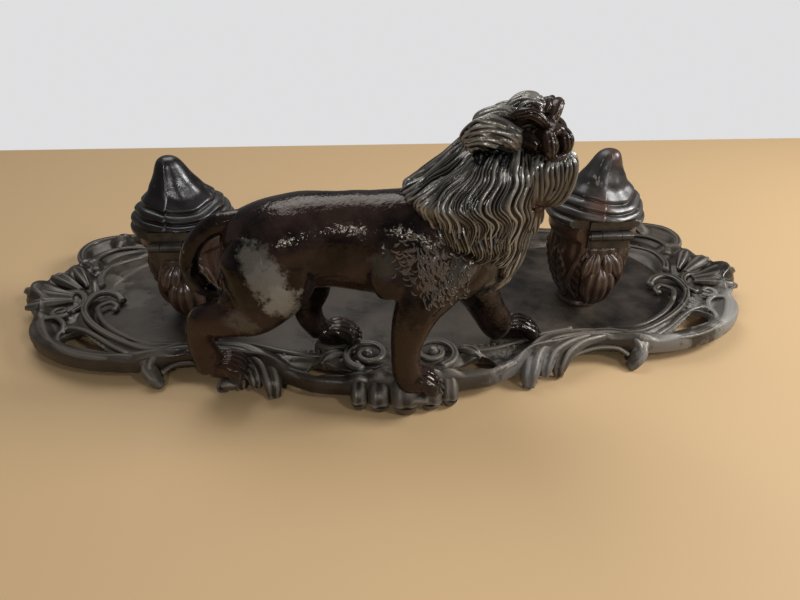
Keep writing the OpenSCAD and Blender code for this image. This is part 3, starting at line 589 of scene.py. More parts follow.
def pot_skin(side):
    """The pot as rings of radius line(z) + relief(turn, z). The relief is 1.25 mm within a pointed arch, less
    a vein down its middle and ribs that fan from it, and shallow flutes between the leaves' tips."""
    outer = curve(np.array(POT_LINE) * (POT_R, 1), 150)
    turn = np.linspace(0, 2 * np.pi, 361)[:-1]
    z = outer[:, 1:2]
    rise = np.clip((z - LEAF_LOW) / (LEAF_HIGH - LEAF_LOW), 0, 1)
    arch = np.where((z > LEAF_LOW) & (z < LEAF_HIGH), np.sin(np.pi * rise**0.85) ** 0.8, 0)
    sector = 2 * np.pi / LEAVES
    local = ((turn[None] / sector) % 1 - 0.5) * sector * np.maximum(outer[:, :1], 6)
    half = LEAF_HALF * arch
    mask = np.clip((half - np.abs(local)) / LEAF_EDGE, 0, 1)
    mask = mask * mask * (3 - 2 * mask)
    vein = np.exp(-(local / VEIN) ** 2)
    ribs = 0.5 + 0.5 * np.cos(2 * np.pi * (z / RIB_PITCH - np.abs(local) / 5))
    flutes = 0.35 * np.cos(LEAVES * 3 * turn)[None] * np.exp(-((z - FLUTE_Z) / 5) ** 2)
    raised = mask * (LEAF_RISE - 0.75 * vein - 0.5 * ribs * (1 - vein)) + flutes * (1 - mask)
    # foot, rim and level steps stay plain
    carved = (z > 7) & (z < 49)
    radius = outer[:, :1] + raised * carved * (np.abs(np.gradient(outer[:, 1]))[:, None] > 0.02)
    bore = np.array(POT_BORE) * (POT_R, 1)
    radius = np.vstack([radius, np.broadcast_to(bore[:, :1], (len(bore), len(turn)))])
    height = np.broadcast_to(np.vstack([z, bore[:, 1:2]]), radius.shape)
    x, y = radius * np.cos(turn), radius * np.sin(turn)
    y = np.where(height > HINGE_CUT, np.maximum(y, -HINGE_FLAT), y)
    return skin(np.stack([side * WELL_X + x, WELL_Y + y, height], -1))


def pot_bud(side):
    """The hanging bud: five long petals that close on a point below, four short leaves over them, and a
    stalk at each side."""
    x, y = side * WELL_X, WELL_Y
    solids = []
    for dx, wide, out in (
            (-3.6, 3.4, 0.0), (3.6, 3.4, 0.0), (0, 3.6, 1.3), (-5.6, 1.7, -1.2), (5.6, 1.7, -1.2)):
        solids.append(sweep([
            (x + 0.45 * dx, y - 18.4, 33, 0.8, 0.8), (x + dx, y - 20.2 - out, 27, wide, 3),
            (x + 1.05 * dx, y - 19.6 - out, 20, wide * 1.05, 3.4),
            (x + 0.6 * dx, y - 16.6 - 0.7 * out, 13.6, 0.6 * wide, 2.4),
            (x + 0.1 * dx, y - 13.6, 8.8, 0.4, 0.5)], facing=(0, -1, 0), rings=50, sides=28, reeds=1,
            groove=0.22))
    for dx, lean in ((-7.4, -3.4), (-3.2, -0.8), (3.2, 0.8), (7.4, 3.4)):
        solids.append(sweep([
            (x + 0.5 * dx, y - 17.4, 38, 1.0, 1.0), (x + 0.8 * dx, y - 19.4, 34.4, 2.3, 1.6),
            (x + dx, y - 20.6, 30.4, 2.2, 1.4), (x + dx + 0.4 * lean, y - 20.8, 27.2, 0.4, 0.4)],
            facing=(0, -1, 0), rings=30, sides=20, reeds=1, groove=0.4))
    for dx in (-11.5, 11.5):
        solids.append(sweep([
            (x + 0.6 * dx, y - 15.6, 40, 0.8, 0.8), (x + 0.95 * dx, y - 15.4, 31, 1.3, 1.2),
            (x + 1.02 * dx, y - 13.6, 21, 1.3, 1.2), (x + 0.55 * dx, y - 11.4, 11, 0.5, 0.5)],
            facing=(0, -1, 0), rings=40, sides=18))
    return solids


pot_bronze = old_metal(
    "pot_bronze", body=(0.028, 0.017, 0.012), hollow=(0.003, 0.002, 0.002), rubbed_and_glint=(0.17, 0.11, 0.08),
    mottled=(0.065, 0.032, 0.020), rough=(0.26, 0.44), metallic=0.2, mottle=70, rub_and_glint=0.55)
for side, hand in ((-1, "left"), (1, "right")):
    pot = shape("pot_" + hand + "_cast", [pot_skin(side)] + pot_bud(side))
    coat(pot, pot_bronze)
    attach(pot, "stand")
    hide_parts("pot_" + hand)

# ---------------------------------------------------------------- ink liners
# A pressed cup of clear, slightly green glass that holds the ink in each pot. It drops into the pot's
# bore and lifts out to be washed.

ink_glass = bpy.data.materials.new("liner_glass")
ink_glass.use_nodes = True
clear = ink_glass.node_tree.nodes["Principled BSDF"]
clear.inputs["Base Color"].default_value = (0.72, 0.82, 0.79, 1)
clear.inputs["Roughness"].default_value = 0.06
clear.inputs["Transmission Weight"].default_value = 1.0
clear.inputs["IOR"].default_value = 1.5
for name in ("liner_left", "liner_right"):
    coat(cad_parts[name], ink_glass)

# ---------------------------------------------------------------- hinges
# A folded brass butt hinge, gone dull, on each pot's flat at the lion's side: one leaf fixed to the pot
# and one to the lid, their knuckles threaded on a steel pin.

hinge_brass = old_metal(
    "hinge_brass", body=(0.050, 0.043, 0.035), hollow=(0.020, 0.017, 0.014), rubbed_and_glint=(0.1, 0.09, 0.08),
    mottled=(0.018, 0.015, 0.012), rough=(0.30, 0.48), metallic=0.3, mottle=150, rub_and_glint=0.0)
pin_steel = old_metal(
    "pin_steel", body=(0.14, 0.13, 0.12), hollow=(0.05, 0.05, 0.05), rubbed_and_glint=(0.3, 0.29, 0.27),
    mottled=(0.07, 0.065, 0.06), rough=(0.3, 0.5), metallic=0.8, mottle=150, rub_and_glint=0.0)
for hand in ("left", "right"):
    for name, metal in (("pot_hinge_leaf_", hinge_brass), ("lid_hinge_leaf_", hinge_brass),
                        ("hinge_pin_", pin_steel)):
        coat(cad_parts[name + hand], metal)

# ---------------------------------------------------------------- lids
# A hollow bronze lid for each pot, cast like a cloth wound to a leaning point: folds step in up its
# side and break at a seam. It turns back on the pot's hinge, with its hinge leaf in a flat notch.

LID_R, LID_SEAT, LID_HEIGHT = 22.9, 50.5, 32.0
# The notch's top and its slope; the seam's place and step; how far the point leans out and nearer
LID_NOTCH, NOTCH_SLOPE = 54.6, 1.2
SEAM_TURN, SEAM_STEP = math.radians(262), 1.15
LEAN_OUT, LEAN_NEAR = 2.3, 0.4
# Share of the radius, share of the height
LID_LINE = [
    (0.80, 0.0), (0.90, 0.0), (0.965, 0.02), (0.995, 0.055), (0.985, 0.10), (0.925, 0.125), (0.93, 0.16),
    (0.945, 0.19), (0.90, 0.235), (0.83, 0.25), (0.835, 0.28), (0.835, 0.31), (0.77, 0.35), (0.69, 0.365),
    (0.69, 0.40), (0.675, 0.43), (0.615, 0.47), (0.545, 0.515), (0.50, 0.56), (0.455, 0.62), (0.39, 0.69),
    (0.335, 0.76), (0.29, 0.83), (0.245, 0.895), (0.185, 0.95), (0.10, 0.985), (0.02, 0.99)]
LID_HOLLOW = [(0.26, 0.47), (0.385, 0.42), (0.52, 0.32), (0.66, 0.20), (0.69, 0.0), (0.72, 0.0)]


def lid_skin(side):
    """The lid as rings of radius line(h) + step + pleats at height h + wave. The step is 1.15 (w^1.5 - 0.6)
    with w the share of a turn from the seam, so the cloth swells round it and steps back at the seam. A slow
    wave of the turn lifts and drops the folds, and the point leans away from the lion's middle."""
    outer = curve(np.array(LID_LINE) * (LID_R, LID_HEIGHT), 150)
    turn = np.linspace(0, 2 * np.pi, 361)[:-1]
    wound = ((turn - SEAM_TURN) / (2 * np.pi)) % 1
    share = outer[:, 1:2] / LID_HEIGHT
    body = np.sin(np.pi * np.clip(share * 1.02 + 0.02, 0, 1)) ** 0.6
    step = SEAM_STEP * (wound[None] ** 1.5 - 0.6) * body
    wave = 0.9 * np.sin(2 * turn + 0.6) + 0.6 * np.sin(3 * turn + 2)
    wave = wave * np.clip(share * 3, 0, 1) * np.clip((0.9 - share) * 3, 0, 1)
    pleats = 0.28 * np.sin(9 * turn + 10 * share) * np.clip(share * 4, 0, 1)
    pleats = pleats * np.clip(2 - 2.6 * share, 0, 1)
    radius = np.minimum(outer[:, :1] + step + pleats, LID_R)
    height = np.minimum(outer[:, 1:2] + wave, LID_HEIGHT - 0.2)
    hollow = np.array(LID_HOLLOW) * (LID_R, LID_HEIGHT)
    radius = np.vstack([np.broadcast_to(hollow[:, :1], (len(hollow), len(turn))), radius])
    height = np.vstack([np.broadcast_to(hollow[:, 1:2], (len(hollow), len(turn))), height])
    x, y = radius * np.cos(turn), radius * np.sin(turn)
    z = LID_SEAT + np.maximum(height, 0)
    lean = LEAN_OUT * np.clip((height - 4) / (LID_HEIGHT - 4), 0, 1) ** 1.6
    notch = np.clip((LID_NOTCH + NOTCH_SLOPE - z) / NOTCH_SLOPE, 0, 1)
    y = np.where(y < -HINGE_FLAT, y + (-HINGE_FLAT - y) * notch, y)
    return skin(np.stack([side * (WELL_X + lean) + x, WELL_Y + y - LEAN_NEAR * lean, z], -1))


# the lids' finish: the two red-brown patches on the right lid are stains, and the large near-black patch that
# covers the left lid is painted shade
lid_bronze = old_metal(
    "lid_bronze", body=(0.016, 0.013, 0.011), hollow=(0.003, 0.002, 0.002), rubbed_and_glint=(0.22, 0.205, 0.18),
    mottled=(0.044, 0.038, 0.034), rough=(0.24, 0.42), metallic=0.15, mottle=60, rub_and_glint=0.8,
    patches=(
        ((90, -17, 62), 11, (0.075, 0.040, 0.030)), ((99, 0, 80), 8, (0.055, 0.030, 0.022)),
        ((-100, -12, 62), 46, (0.006, 0.004, 0.004))))
for side, hand in ((-1, "left"), (1, "right")):
    lid = shape("lid_" + hand + "_cast", [lid_skin(side)])
    coat(lid, lid_bronze)
    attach(lid, "lid_l" if side < 0 else "lid_r")
    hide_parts("lid_" + hand)

# ---------------------------------------------------------------- lion: hindquarters
# Cast bronze under a dark brown lacquer: haunches, both hind legs and paws, joined to the
# forequarters at the waist and screwed to the tray through the paws.

lion_bronze = old_metal(
    "lion_bronze", body=(0.002, 0.0015, 0.0015), hollow=(0.002, 0.0015, 0.001), rubbed_and_glint=(0.14, 0.12, 0.10),
    mottled=(0.027, 0.0155, 0.0125), rough=(0.05, 0.18), metallic=0.0, mottle=60, grain=420, depth=0.6,
    patches=(
        ((-53, -66, 67), 12, (0.085, 0.080, 0.068)), ((-49, -68, 59), 12, (0.115, 0.108, 0.094)),
        ((-44, -69, 50), 12, (0.155, 0.148, 0.126)), ((-40, -67, 43), 9, (0.13, 0.122, 0.104)),
        ((-62, -64, 39), 12, (0.06, 0.050, 0.040)), ((-72, -62, 28), 26, (0.026, 0.013, 0.008)),
        ((2, -74, 30), 26, (0.024, 0.013, 0.008)), ((-20, -58, 47), 16, (0.026, 0.014, 0.008)),
        ((-8, -66, 64), 9, (0.034, 0.031, 0.026)), ((19, -75, 63), 9, (0.06, 0.054, 0.046))))
lacquer = lion_bronze.node_tree.nodes["Principled BSDF"].inputs
lacquer["Specular IOR Level"].default_value = 0.27
lacquer["Specular Tint"].default_value = (1, 0.86, 0.74, 1)
LUMP = 20 * MM


def cast(name, solids, voxel, rounds, uneven=0.0):
    """The solids fused into one skin, as a casting is: a voxel remesh, rounds of smoothing, then cloudy
    noise in lumps of 20 mm pushes the skin in or out by up to half the uneven distance (mm)."""
    made = shape(name, solids)
    coat(made, lion_bronze)
    fuse = made.modifiers.new("fuse", "REMESH")
    fuse.mode = "VOXEL"
    fuse.voxel_size = voxel * MM
    fuse.use_smooth_shade = True
    soften = made.modifiers.new("soften", "SMOOTH")
    soften.factor = 0.5
    soften.iterations = rounds
    if uneven:
        cloud = bpy.data.textures.new(name + "_hand", "CLOUDS")
        cloud.noise_scale = LUMP
        cloud.noise_depth = 0
        push = made.modifiers.new("uneven", "DISPLACE")
        push.texture = cloud
        push.texture_coords = "LOCAL"
        push.strength = uneven * MM
    return made


ACROSS = (0, 1, 0)


def limb(stations, rings=60, sides=40):
    """A sweep whose half widths lie across the lion."""
    return sweep(stations, across=ACROSS, rings=rings, sides=sides)


def paw(heel, offset, length):
    """A heel and four toes with claws, from the heel forwards."""
    solids = [limb([
        (heel - 4, offset, 15, 2.5, 2.5), (heel - 1, offset, 15, 5.2, 5),
        (heel + 0.55 * length, offset, 14, 5.6, 4), (heel + 0.8 * length, offset, 13, 4.5, 3)])]
    for toe in (-1.5, -0.5, 0.5, 1.5):
        reach = length + 1.2 - 0.9 * abs(toe)
        x, y = heel + 1, offset + 2.4 * toe
        solids.append(limb([
            (x, y, 16, 1.5, 1.5), (x + 0.4 * reach, y + 0.3 * toe, 16.8, 2.2, 2.4),
            (x + 0.7 * reach, y + 0.7 * toe, 15, 2.5, 3), (x + reach, y + toe, 12.7, 2.4, 2.7),
            (x + reach + 1.6, y + toe, 12.2, 1.2, 1.5)], rings=30, sides=20))
        solids.append(limb([
            (x + reach + 0.6, y + toe, 13.6, 1.0, 1.0), (x + reach + 2.6, y + toe, 12.4, 0.7, 0.8),
            (x + reach + 3.4, y + toe, 10.8, 0.2, 0.2)], rings=12, sides=12))
    return solids


hind_body = [(-67.5, -46, 63, 5, 7), (-63, -46.2, 63, 11, 12.5), (-56, -46.5, 63.5, 15.5, 15.5),
             (-47, -47, 64.5, 18.2, 18), (-37, -47.5, 65.3, 17.7, 18.5), (-26, -48.5, 66, 15.4, 18.4),
             (-13, -49.5, 65.3, 15.2, 19.4), (-9, -49.8, 65.2, 15.4, 19.6)]
near_hind_leg = [
    (-48, -56.5, 72, 6, 12), (-49, -58, 61, 9, 18.5), (-52, -59, 51, 9, 15.8),
    (-57.5, -58.5, 42.5, 8, 11.6), (-68, -58, 38.5, 6.3, 8.4), (-76.5, -57.5, 36, 5.2, 7),
    (-79.8, -57, 30, 4.6, 5.8), (-79.4, -56.5, 23, 4.6, 5.4), (-77, -56.5, 14.5, 5.2, 5.6)]
far_hind_leg = [(-44, -41.5, 64, 8, 14), (-38.5, -38.5, 48, 7.5, 10.5), (-36.5, -36, 38, 5.8, 7.6),
                (-39, -35, 29, 5, 6.2), (-38, -34.5, 21, 5, 5.8), (-34, -34.5, 14.5, 5.3, 5.6)]

# the thigh's swell, its front edge, its back edge and the tendon above the heel
haunch = [
    limb([(-57, -55, 70, 2, 3), (-55.5, -58, 66, 5, 8), (-53, -60.5, 59, 6.5, 12), (-50, -61, 51, 6.5, 13),
          (-48, -60, 44, 4, 8)]),
    limb([(-40, -58, 72, 2, 4), (-38.5, -61, 64, 4.5, 6), (-39.5, -62.5, 56, 4.5, 5.2),
          (-43.5, -62, 48, 4, 4.6), (-49, -60.5, 42, 2.5, 3)]),
    limb([(-66, -56, 56, 2, 3), (-63, -58, 50, 5, 6), (-66, -58.5, 43, 5, 5.5), (-74, -58, 38, 4, 5)]),
    limb([(-80.5, -57.5, 40, 1.5, 2), (-80.2, -57.2, 33, 2.4, 2.6), (-81, -57, 24, 2, 2),
          (-80.5, -57, 18, 1.5, 1.5)]),
]
hind = cast("hindquarters_cast", [limb(hind_body), limb(near_hind_leg), limb(far_hind_leg)] + haunch,
            0.55, 16, uneven=2.6)
hind_paws = cast("hind_paws_cast", paw(-75.5, -56.5, 9) + paw(-33, -34.5, 11.5), 0.4, 2)
for piece in (hind, hind_paws):
    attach(piece, "stand")
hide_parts("lion_hindquarters")

# ---------------------------------------------------------------- lion: forequarters
# The lion's chest, shoulders and forelegs, one bronze casting with the mane under the same lacquer. It
# meets the hindquarters at the waist and is screwed to the tray through its paws.

fore_body = [
    (-17, -49.2, 65.5, 15.0, 19.1), (-13.4, -49.5, 65.3, 15.2, 19.4), (-2, -50.5, 64.7, 17.4, 21.2),
    (8, -51.5, 64, 19, 22), (18, -51.5, 62, 20, 19), (28, -51.5, 61, 18, 17), (35, -51.5, 60, 12, 12),
    (39, -51.5, 59, 6, 7)]
near_fore_leg = [(16, -61.5, 66, 8, 13), (10, -64.5, 55, 8.5, 12.5), (4.5, -67.5, 46, 7, 9.5),
                 (1.2, -69, 36, 6.2, 7.5), (0, -69.8, 27, 5.5, 6.3), (0.8, -70.3, 19, 5.5, 6.3),
                 (3, -70.5, 14.5, 6, 7)]
far_fore_leg = [
    (18, -42.5, 60, 8, 13), (27, -39.5, 44, 7, 10), (34, -37.5, 33, 6.5, 8.5), (38.5, -36.5, 24, 5.8, 7.6),
    (43, -36, 17, 5.8, 7), (46, -35.5, 14.5, 6, 6)]

# the shoulder's swell, the elbow's and the muscle down the upper leg
shoulder = [
    limb([(16, -64, 76, 3, 5), (14, -67, 68, 5, 9), (10, -68.6, 60, 5, 9), (6, -69, 50, 4, 6)]),
    limb([(-2, -58, 72, 3, 6), (-4, -62, 65, 5, 9), (-4, -64.6, 57.5, 5.5, 9.5), (-3, -65.4, 51, 5, 7)]),
    limb([(25.5, -66, 70.5, 2, 3), (22, -69.6, 65.5, 3.6, 4.4), (15, -71.6, 58, 3.4, 4),
          (8, -72.4, 50, 3, 3.6), (4.5, -72, 42, 2, 3)]),
]
ribs = [limb([(x, -58, 79, 1.2, 2), (x - 2, -64, 70, 2.2, 3), (x + 0.5, -66.5, 60, 2.4, 3.2),
              (x + 3, -65, 50, 2, 2.5)]) for x in (-6, 0, 6)]
fore = cast("forequarters_cast",
            [limb(fore_body), limb(near_fore_leg), limb(far_fore_leg)] + shoulder + ribs,
            0.55, 13, uneven=2.2)
fore_paws = cast("fore_paws_cast", paw(1.5, -70.5, 8.6) + paw(45.5, -35.5, 13), 0.4, 2)
for piece in (fore, fore_paws):
    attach(piece, "stand")
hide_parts("lion_forequarters")

# short curls of fur chased into the shoulder, laid on the casting where a ray from the near side meets it
CURL_TRIES = 900
fur_chance = np.random.default_rng(11)
hide = fore.evaluated_get(bpy.context.evaluated_depsgraph_get())
curls = []
for x, z in fur_chance.uniform((-4, 50), (24, 76), (CURL_TRIES, 2)):
    dense = math.exp(-((x - 9) / 9) ** 2 - ((z - 64 + 0.4 * (x - 9)) / 9) ** 2)
    if fur_chance.uniform() > 1.1 * dense:
        continue
    lean = math.radians(fur_chance.uniform(-35, 35) - 120)
    length = fur_chance.uniform(1.8, 3.2)
    stations = []
    for t, half in ((0, 0.12), (0.35, 0.34), (0.7, 0.36), (1, 0.1)):
        turn = lean + 0.9 * t * (1 if x > 4 else -1)
        start = Vector((x + length * t * math.cos(turn), -90, z + length * t * math.sin(turn))) * MM
        met, spot, _, _ = hide.ray_cast(start, Vector((0, 1, 0)))
        if met:
            stations.append((*(np.array(spot) / MM), half, half * 1.3))
    if len(stations) == 4 and np.ptp(np.array(stations)[:, 1]) < 3:
        curls.append(sweep(stations, facing=(0, -1, 0), rings=9, sides=8))
fur = shape("shoulder_fur", curls)
coat(fur, lion_bronze)
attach(fur, "stand")

# ---------------------------------------------------------------- lion: mane
# Carved strands in three layers over the neck, part of the forequarters' casting. Each leaves the
# nape, swings forwards in an S and hooks back at the hem, which drops to a point on the chest.

# Up the neck: x, y, z of the middle, and half sizes along and across
NECK = np.array([(30, -52.5, 43, 3, 4), (29, -52.5, 47, 6.5, 9.5), (28.5, -52.5, 54, 10.5, 15),
                 (26.5, -51.5, 63, 15, 19), (25, -51.5, 73, 18, 20), (25.5, -50.5, 80, 20, 19.6),
                 (25.5, -50.5, 85, 24, 19), (29, -50.5, 89, 20.5, 18), (33.5, -50.5, 94.5, 17, 16.3),
                 (36, -49.5, 100, 14, 14.5), (37, -48.5, 106, 11, 11), (38, -48, 111, 6, 6)], float)
# Turn from the chest round to the nape, in degrees, and the height of the hem there
HEM = np.array([
    (0, 47), (25, 49), (42, 57), (58, 68), (90, 70.5), (120, 72.5), (150, 79), (180, 83)], float)
NECK_POINTS, CORE_DEPTH = 60, -1.2
# A strand's swing (radians), the height it starts at and how far down it is complete; its hook and the
# share of the strand where that starts; its ripple
SWING, SWING_TOP, SWING_DROP, HOOK, HOOK_FROM, RIPPLE = 0.60, 98, 24, 0.17, 0.72, 0.042
# How far a strand swings aside, by its turn from the chest in degrees
BEND = np.array([(0, 0), (30, 0.4), (60, 1), (100, 1), (130, 0.3), (155, -0.4), (180, 0)], float)
# Along a strand: share of its length, and shares of its half width and half height
STRAND = np.array([(0, 0.6, 0.5), (0.15, 0.95, 0.8), (0.5, 1.0, 1.0), (0.8, 0.8, 0.9), (0.93, 0.5, 0.6),
                   (1, 0.12, 0.15)])
chance = np.random.default_rng(7)


def on_neck(turn, z, out):
    """Points out mm off the neck, an upright ellipse at each height: centre + (radius + out)(cos, sin)."""
    row = [np.interp(z, NECK[:, 2], NECK[:, k]) for k in (0, 1, 3, 4)]
    return np.stack([row[0] + (row[2] + out) * np.cos(turn), row[1] + (row[3] + out) * np.sin(turn), z], -1)


# the hair's finish: the pale crests are partly wear from rubbing and partly painted highlight, and the
# near-black hollows are painted shade; the three near-black patches just under the cheek ruff are a painted
# shadow of its undercut, and the two reddish ones are the hair's own colour
hair_bronze = old_metal(
    "hair_bronze", body=(0.005, 0.0035, 0.0025), hollow=(0.0005, 0.0005, 0.0005), rubbed_and_glint=(0.34, 0.315, 0.275),
    mottled=(0.016, 0.011, 0.007), rough=(0.14, 0.26), metallic=0.4, mottle=80, depth=0.4,
    stretch=0.25, rub_and_glint=0.85,
    patches=(
        ((32, -62.5, 100.4), 8, (0.001, 0.001, 0.001)), ((26, -61, 101), 7, (0.001, 0.001, 0.001)),
        ((37, -63, 99), 6, (0.001, 0.001, 0.001)), ((46, -65, 86), 9, (0.042, 0.024, 0.016)),
        ((51, -66, 92), 6, (0.06, 0.043, 0.032))))
round_neck = np.linspace(0, 2 * np.pi, NECK_POINTS + 1)[:-1]
neck_core = skin(np.array([on_neck(round_neck, np.full(NECK_POINTS, z), CORE_DEPTH)
                           for z in np.linspace(43, 111, NECK_POINTS)]))
locks = []
# each layer: height of the roots, how far above the hem it ends, number of strands, how far out
for root, above_hem, count, out in ((80, -3.0, 34, -0.5), (93, -0.5, 38, 0.2), (103, 3.5, 36, 1.0)):
    for i in range(count):
        end = 2 * np.pi * (i + 0.5 * (out > 0)) / count - np.pi + chance.uniform(-0.04, 0.04)
        turned = abs(math.degrees(end))
        bend = -math.copysign(1, math.sin(end)) * np.interp(turned, *BEND.T)
        t = np.linspace(0, 1, 15)
        hem = np.interp(turned, *HEM.T) + above_hem + chance.uniform(-1.5, 1.5)
        z = root + chance.uniform(-2, 2) + (hem - root) * t
        fall = np.clip((SWING_TOP - z) / SWING_DROP, 0, 1)
        flow = SWING * (3 * fall**2 - 2 * fall**3) - SWING
        hook = -HOOK * np.clip((t - HOOK_FROM) / (1 - HOOK_FROM), 0, 1) ** 2
        ripple = RIPPLE * np.sin(2 * np.pi * z / 12.5 + 1.5 * end + chance.uniform(-0.5, 0.5))
        lift = out + 0.8 * np.sin(np.pi * t) - 2.4 * np.clip(1 - t / 0.14, 0, 1)
        path = on_neck(end + bend * (flow + hook) + ripple, z, lift)
        size = chance.uniform(0.82, 1.2)
        width = 2.3 * size * np.interp(t, STRAND[:, 0], STRAND[:, 1])
        height = 2.6 * size * np.interp(t, STRAND[:, 0], STRAND[:, 2])
        outward = unit(path.mean(0) - np.array([29, -51, path[:, 2].mean()]))
        locks.append(sweep(np.column_stack([path, width, height]), facing=outward, rings=34, sides=24,
                           reeds=int(chance.choice((1, 2, 2))), groove=0.5))
mane = shape("mane_locks", [neck_core] + locks)
coat(mane, hair_bronze)
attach(mane, "stand")

# ---------------------------------------------------------------- lion: head
# Turned towards the near side and a little down. A casting of its own that meets the neck under the
# cheek ruff: the bare face first, then its forelock, crown, ruff and beard.

FACE = np.array([44.4, -58, 113.3])
FORWARD = unit(np.array([0.309, -0.928, 0.209]))
FAR = unit(np.cross((-0.21, 0.15, 0.97), FORWARD))
CROWNWARD = np.cross(FORWARD, FAR)
# how far the muzzle's middle lies to the far side
MUZZLE = -0.2
# The far cheek's hair: the near guides' scale and shift (forward, far, crownward)
FAR_SCALE, FAR_SHIFT = (1, -0.42, 1), (-5, 1, -1)
# Along a lock: share of its length, and share of its half sizes
LOCK_SWELL = np.array([(0, 0.45), (0.12, 0.8), (0.4, 1.0), (0.75, 0.8), (1, 0.18)])


def on_face(rows):
    """Rows (forward, far, crownward, half width, half height) from between the eyes, as stations."""
    rows = np.asarray(rows, float)
    places = FACE + rows[:, :1] * FORWARD + rows[:, 1:2] * FAR + rows[:, 2:3] * CROWNWARD
    return np.column_stack([places, rows[:, 3:]])


def feature(rows, facing=None, **how):
    """A sweep placed on the face, with its upper side towards the crown unless told."""
    return sweep(on_face(rows), facing=CROWNWARD if facing is None else facing, **how)


def knob(forward, far, crownward, radius):
    """A round lump: at t radii ahead of its middle its half sizes are radius sqrt(1 - t^2)."""
    t = np.linspace(-1, 1, 13)
    r = radius * np.sqrt(np.maximum(1 - t**2, 0.002))
    rows = np.column_stack([forward + radius * t, np.full(13, far), np.full(13, crownward), r, r])
    return feature(rows, rings=26, sides=26)


skull = [
    feature([
        (-20, -1, -5, 4, 4), (-17, -1, -4, 7.4, 7.4), (-12, -0.8, -2.4, 8.6, 8.2), (-7, -0.6, -1.6, 8.6, 8),
        (-3, -0.2, -2.2, 7.4, 6), (-0.6, 0, -3, 4.6, 4.2), (0.6, 0, -3.4, 2.4, 2.4)]),
    feature([
        (-7, -0.4, -8, 6.6, 7), (-1, 0, -8.6, 6.4, 5.6), (3, 0.3, -8.8, 4.8, 4.2),
        (6.4, MUZZLE, -10, 3, 2.6), (7.4, MUZZLE, -10.4, 1.6, 1.4)]),
    # bridge and tip of the nose
    feature([
        (-1, -0.3, 0.4, 2.0, 2.4), (1.8, -0.4, -1.4, 2.1, 2.1), (4, -0.1, -2.8, 1.9, 1.8),
        (6.4, 0.3, -4.0, 2.5, 1.9), (8, MUZZLE, -4.8, 2.5, 1.6), (8.8, MUZZLE, -5.6, 1.2, 0.9)]),
    feature([
        (-5, 0, -12, 4.6, 3.4), (2, 0.2, -12.8, 3.8, 2.6), (6, MUZZLE, -13.6, 3, 2.1),
        (7.6, MUZZLE, -13.6, 1.4, 1.2)]),
]
for s in (-1, 1):
    skull += [
        # brow hood, cheekbone, muzzle pad, nostril wing, lower lip
        feature([
            (-3, 8.8 * s, 2.2, 1.2, 1.2), (-0.4, 7.4 * s, 2.4, 2.0, 2.2), (1.6, 5.2 * s, 2.0, 2.2, 2.8),
            (3.0, 3.2 * s, 0.2, 2.1, 2.6), (3.6, 1.5 * s, -2.0, 1.6, 2.0), (3.4, 0.6 * s, -3.8, 0.8, 1.0)],
            facing=FORWARD, reeds=2, groove=0.2),
        feature([
            (-5, 8.6 * s, -4, 1.8, 2.4), (-1, 7.6 * s, -5.6, 2.1, 2.8), (2.0, 6 * s, -7, 1.9, 2.6),
            (4, 4.8 * s, -8.4, 1.4, 1.8)]),
        feature([
            (5.2, MUZZLE + 2.2 * s, -4.4, 1.2, 1.4), (7.4, MUZZLE + 2.8 * s, -5.8, 2.0, 2.6),
            (8.4, MUZZLE + 3.0 * s, -8.2, 2.4, 2.9), (7.8, MUZZLE + 2.9 * s, -10.6, 2.0, 2.3),
            (6.2, MUZZLE + 2.4 * s, -12.2, 0.8, 1.0)], facing=FORWARD, reeds=2, groove=0.3),
        knob(8, MUZZLE + 1.8 * s, -4.7, 1.15),
        feature([
            (2, 4.6 * s, -11.8, 1, 1), (5.6, MUZZLE + 3.2 * s, -12.4, 1.3, 1.1),
            (7.8, MUZZLE + 1.7 * s, -12.8, 1.3, 1.2), (8.2, MUZZLE, -12.9, 1.3, 1.2)]),
        # eyeball, upper lid and lower lid, deep under the brow
        knob(-0.6, 4.7 * s, -2.7, 1.5),
        feature([
            (-1.6, 7 * s, -2.0, 0.5, 0.5), (0.7, 5.2 * s, -1.6, 0.6, 0.55),
            (0.9, 3.2 * s, -2.6, 0.5, 0.5)]),
        feature([
            (-1.8, 6.6 * s, -3.6, 0.5, 0.5), (0.5, 4.8 * s, -4.2, 0.6, 0.5),
            (0.7, 3.0 * s, -3.8, 0.5, 0.5)]),
        # forehead folds
        feature([
            (2.4, 0.9 * s, 0.8, 0.9, 1.0), (1.8, 1.9 * s, 2.8, 1.3, 1.3), (0.4, 2.6 * s, 4.6, 1.2, 1.2)]),
        # ear: a cupped leaf
        feature([
            (-6, 7.6 * s, 0.6, 1.6, 1.7), (-6.4, 8.8 * s, 2.0, 2.1, 1.8), (-6.6, 9.4 * s, 3.2, 1.7, 1.3),
            (-6.8, 9.8 * s, 4.4, 0.7, 0.6)], facing=FORWARD),
    ]
head = cast("head_cast", skull, 0.32, 1)
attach(head, "stand")
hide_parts("lion_head")


def family(guides, count, wide, thick, facing, drift=0.35, reeds=1, groove=0.45, far_side=False):
    """Locks of hair spread evenly between guide lines of points (forward, far, crownward): each swells from
    its root and draws out to a tip, and its points stray by up to drift mm. far_side carries the guides over
    to the far cheek."""
    guides = np.asarray(guides, float)
    if far_side:
        guides = guides * FAR_SCALE + FAR_SHIFT
    rows, points, _ = guides.shape
    spread = curve(guides.reshape(rows, -1), count).reshape(count, points, 3)
    t = np.linspace(0, 1, points)
    swell = np.interp(t, *LOCK_SWELL.T)
    made = []
    for path in spread:
        stray = path + chance.uniform(-drift, drift, path.shape) * np.array([1, 0.6, 0.6])
        size = chance.uniform(0.85, 1.15)
        made.append(feature(np.column_stack([stray, wide * size * swell, thick * size * swell]),
                            facing=facing, rings=36, sides=20, reeds=reeds, groove=groove))
    return made


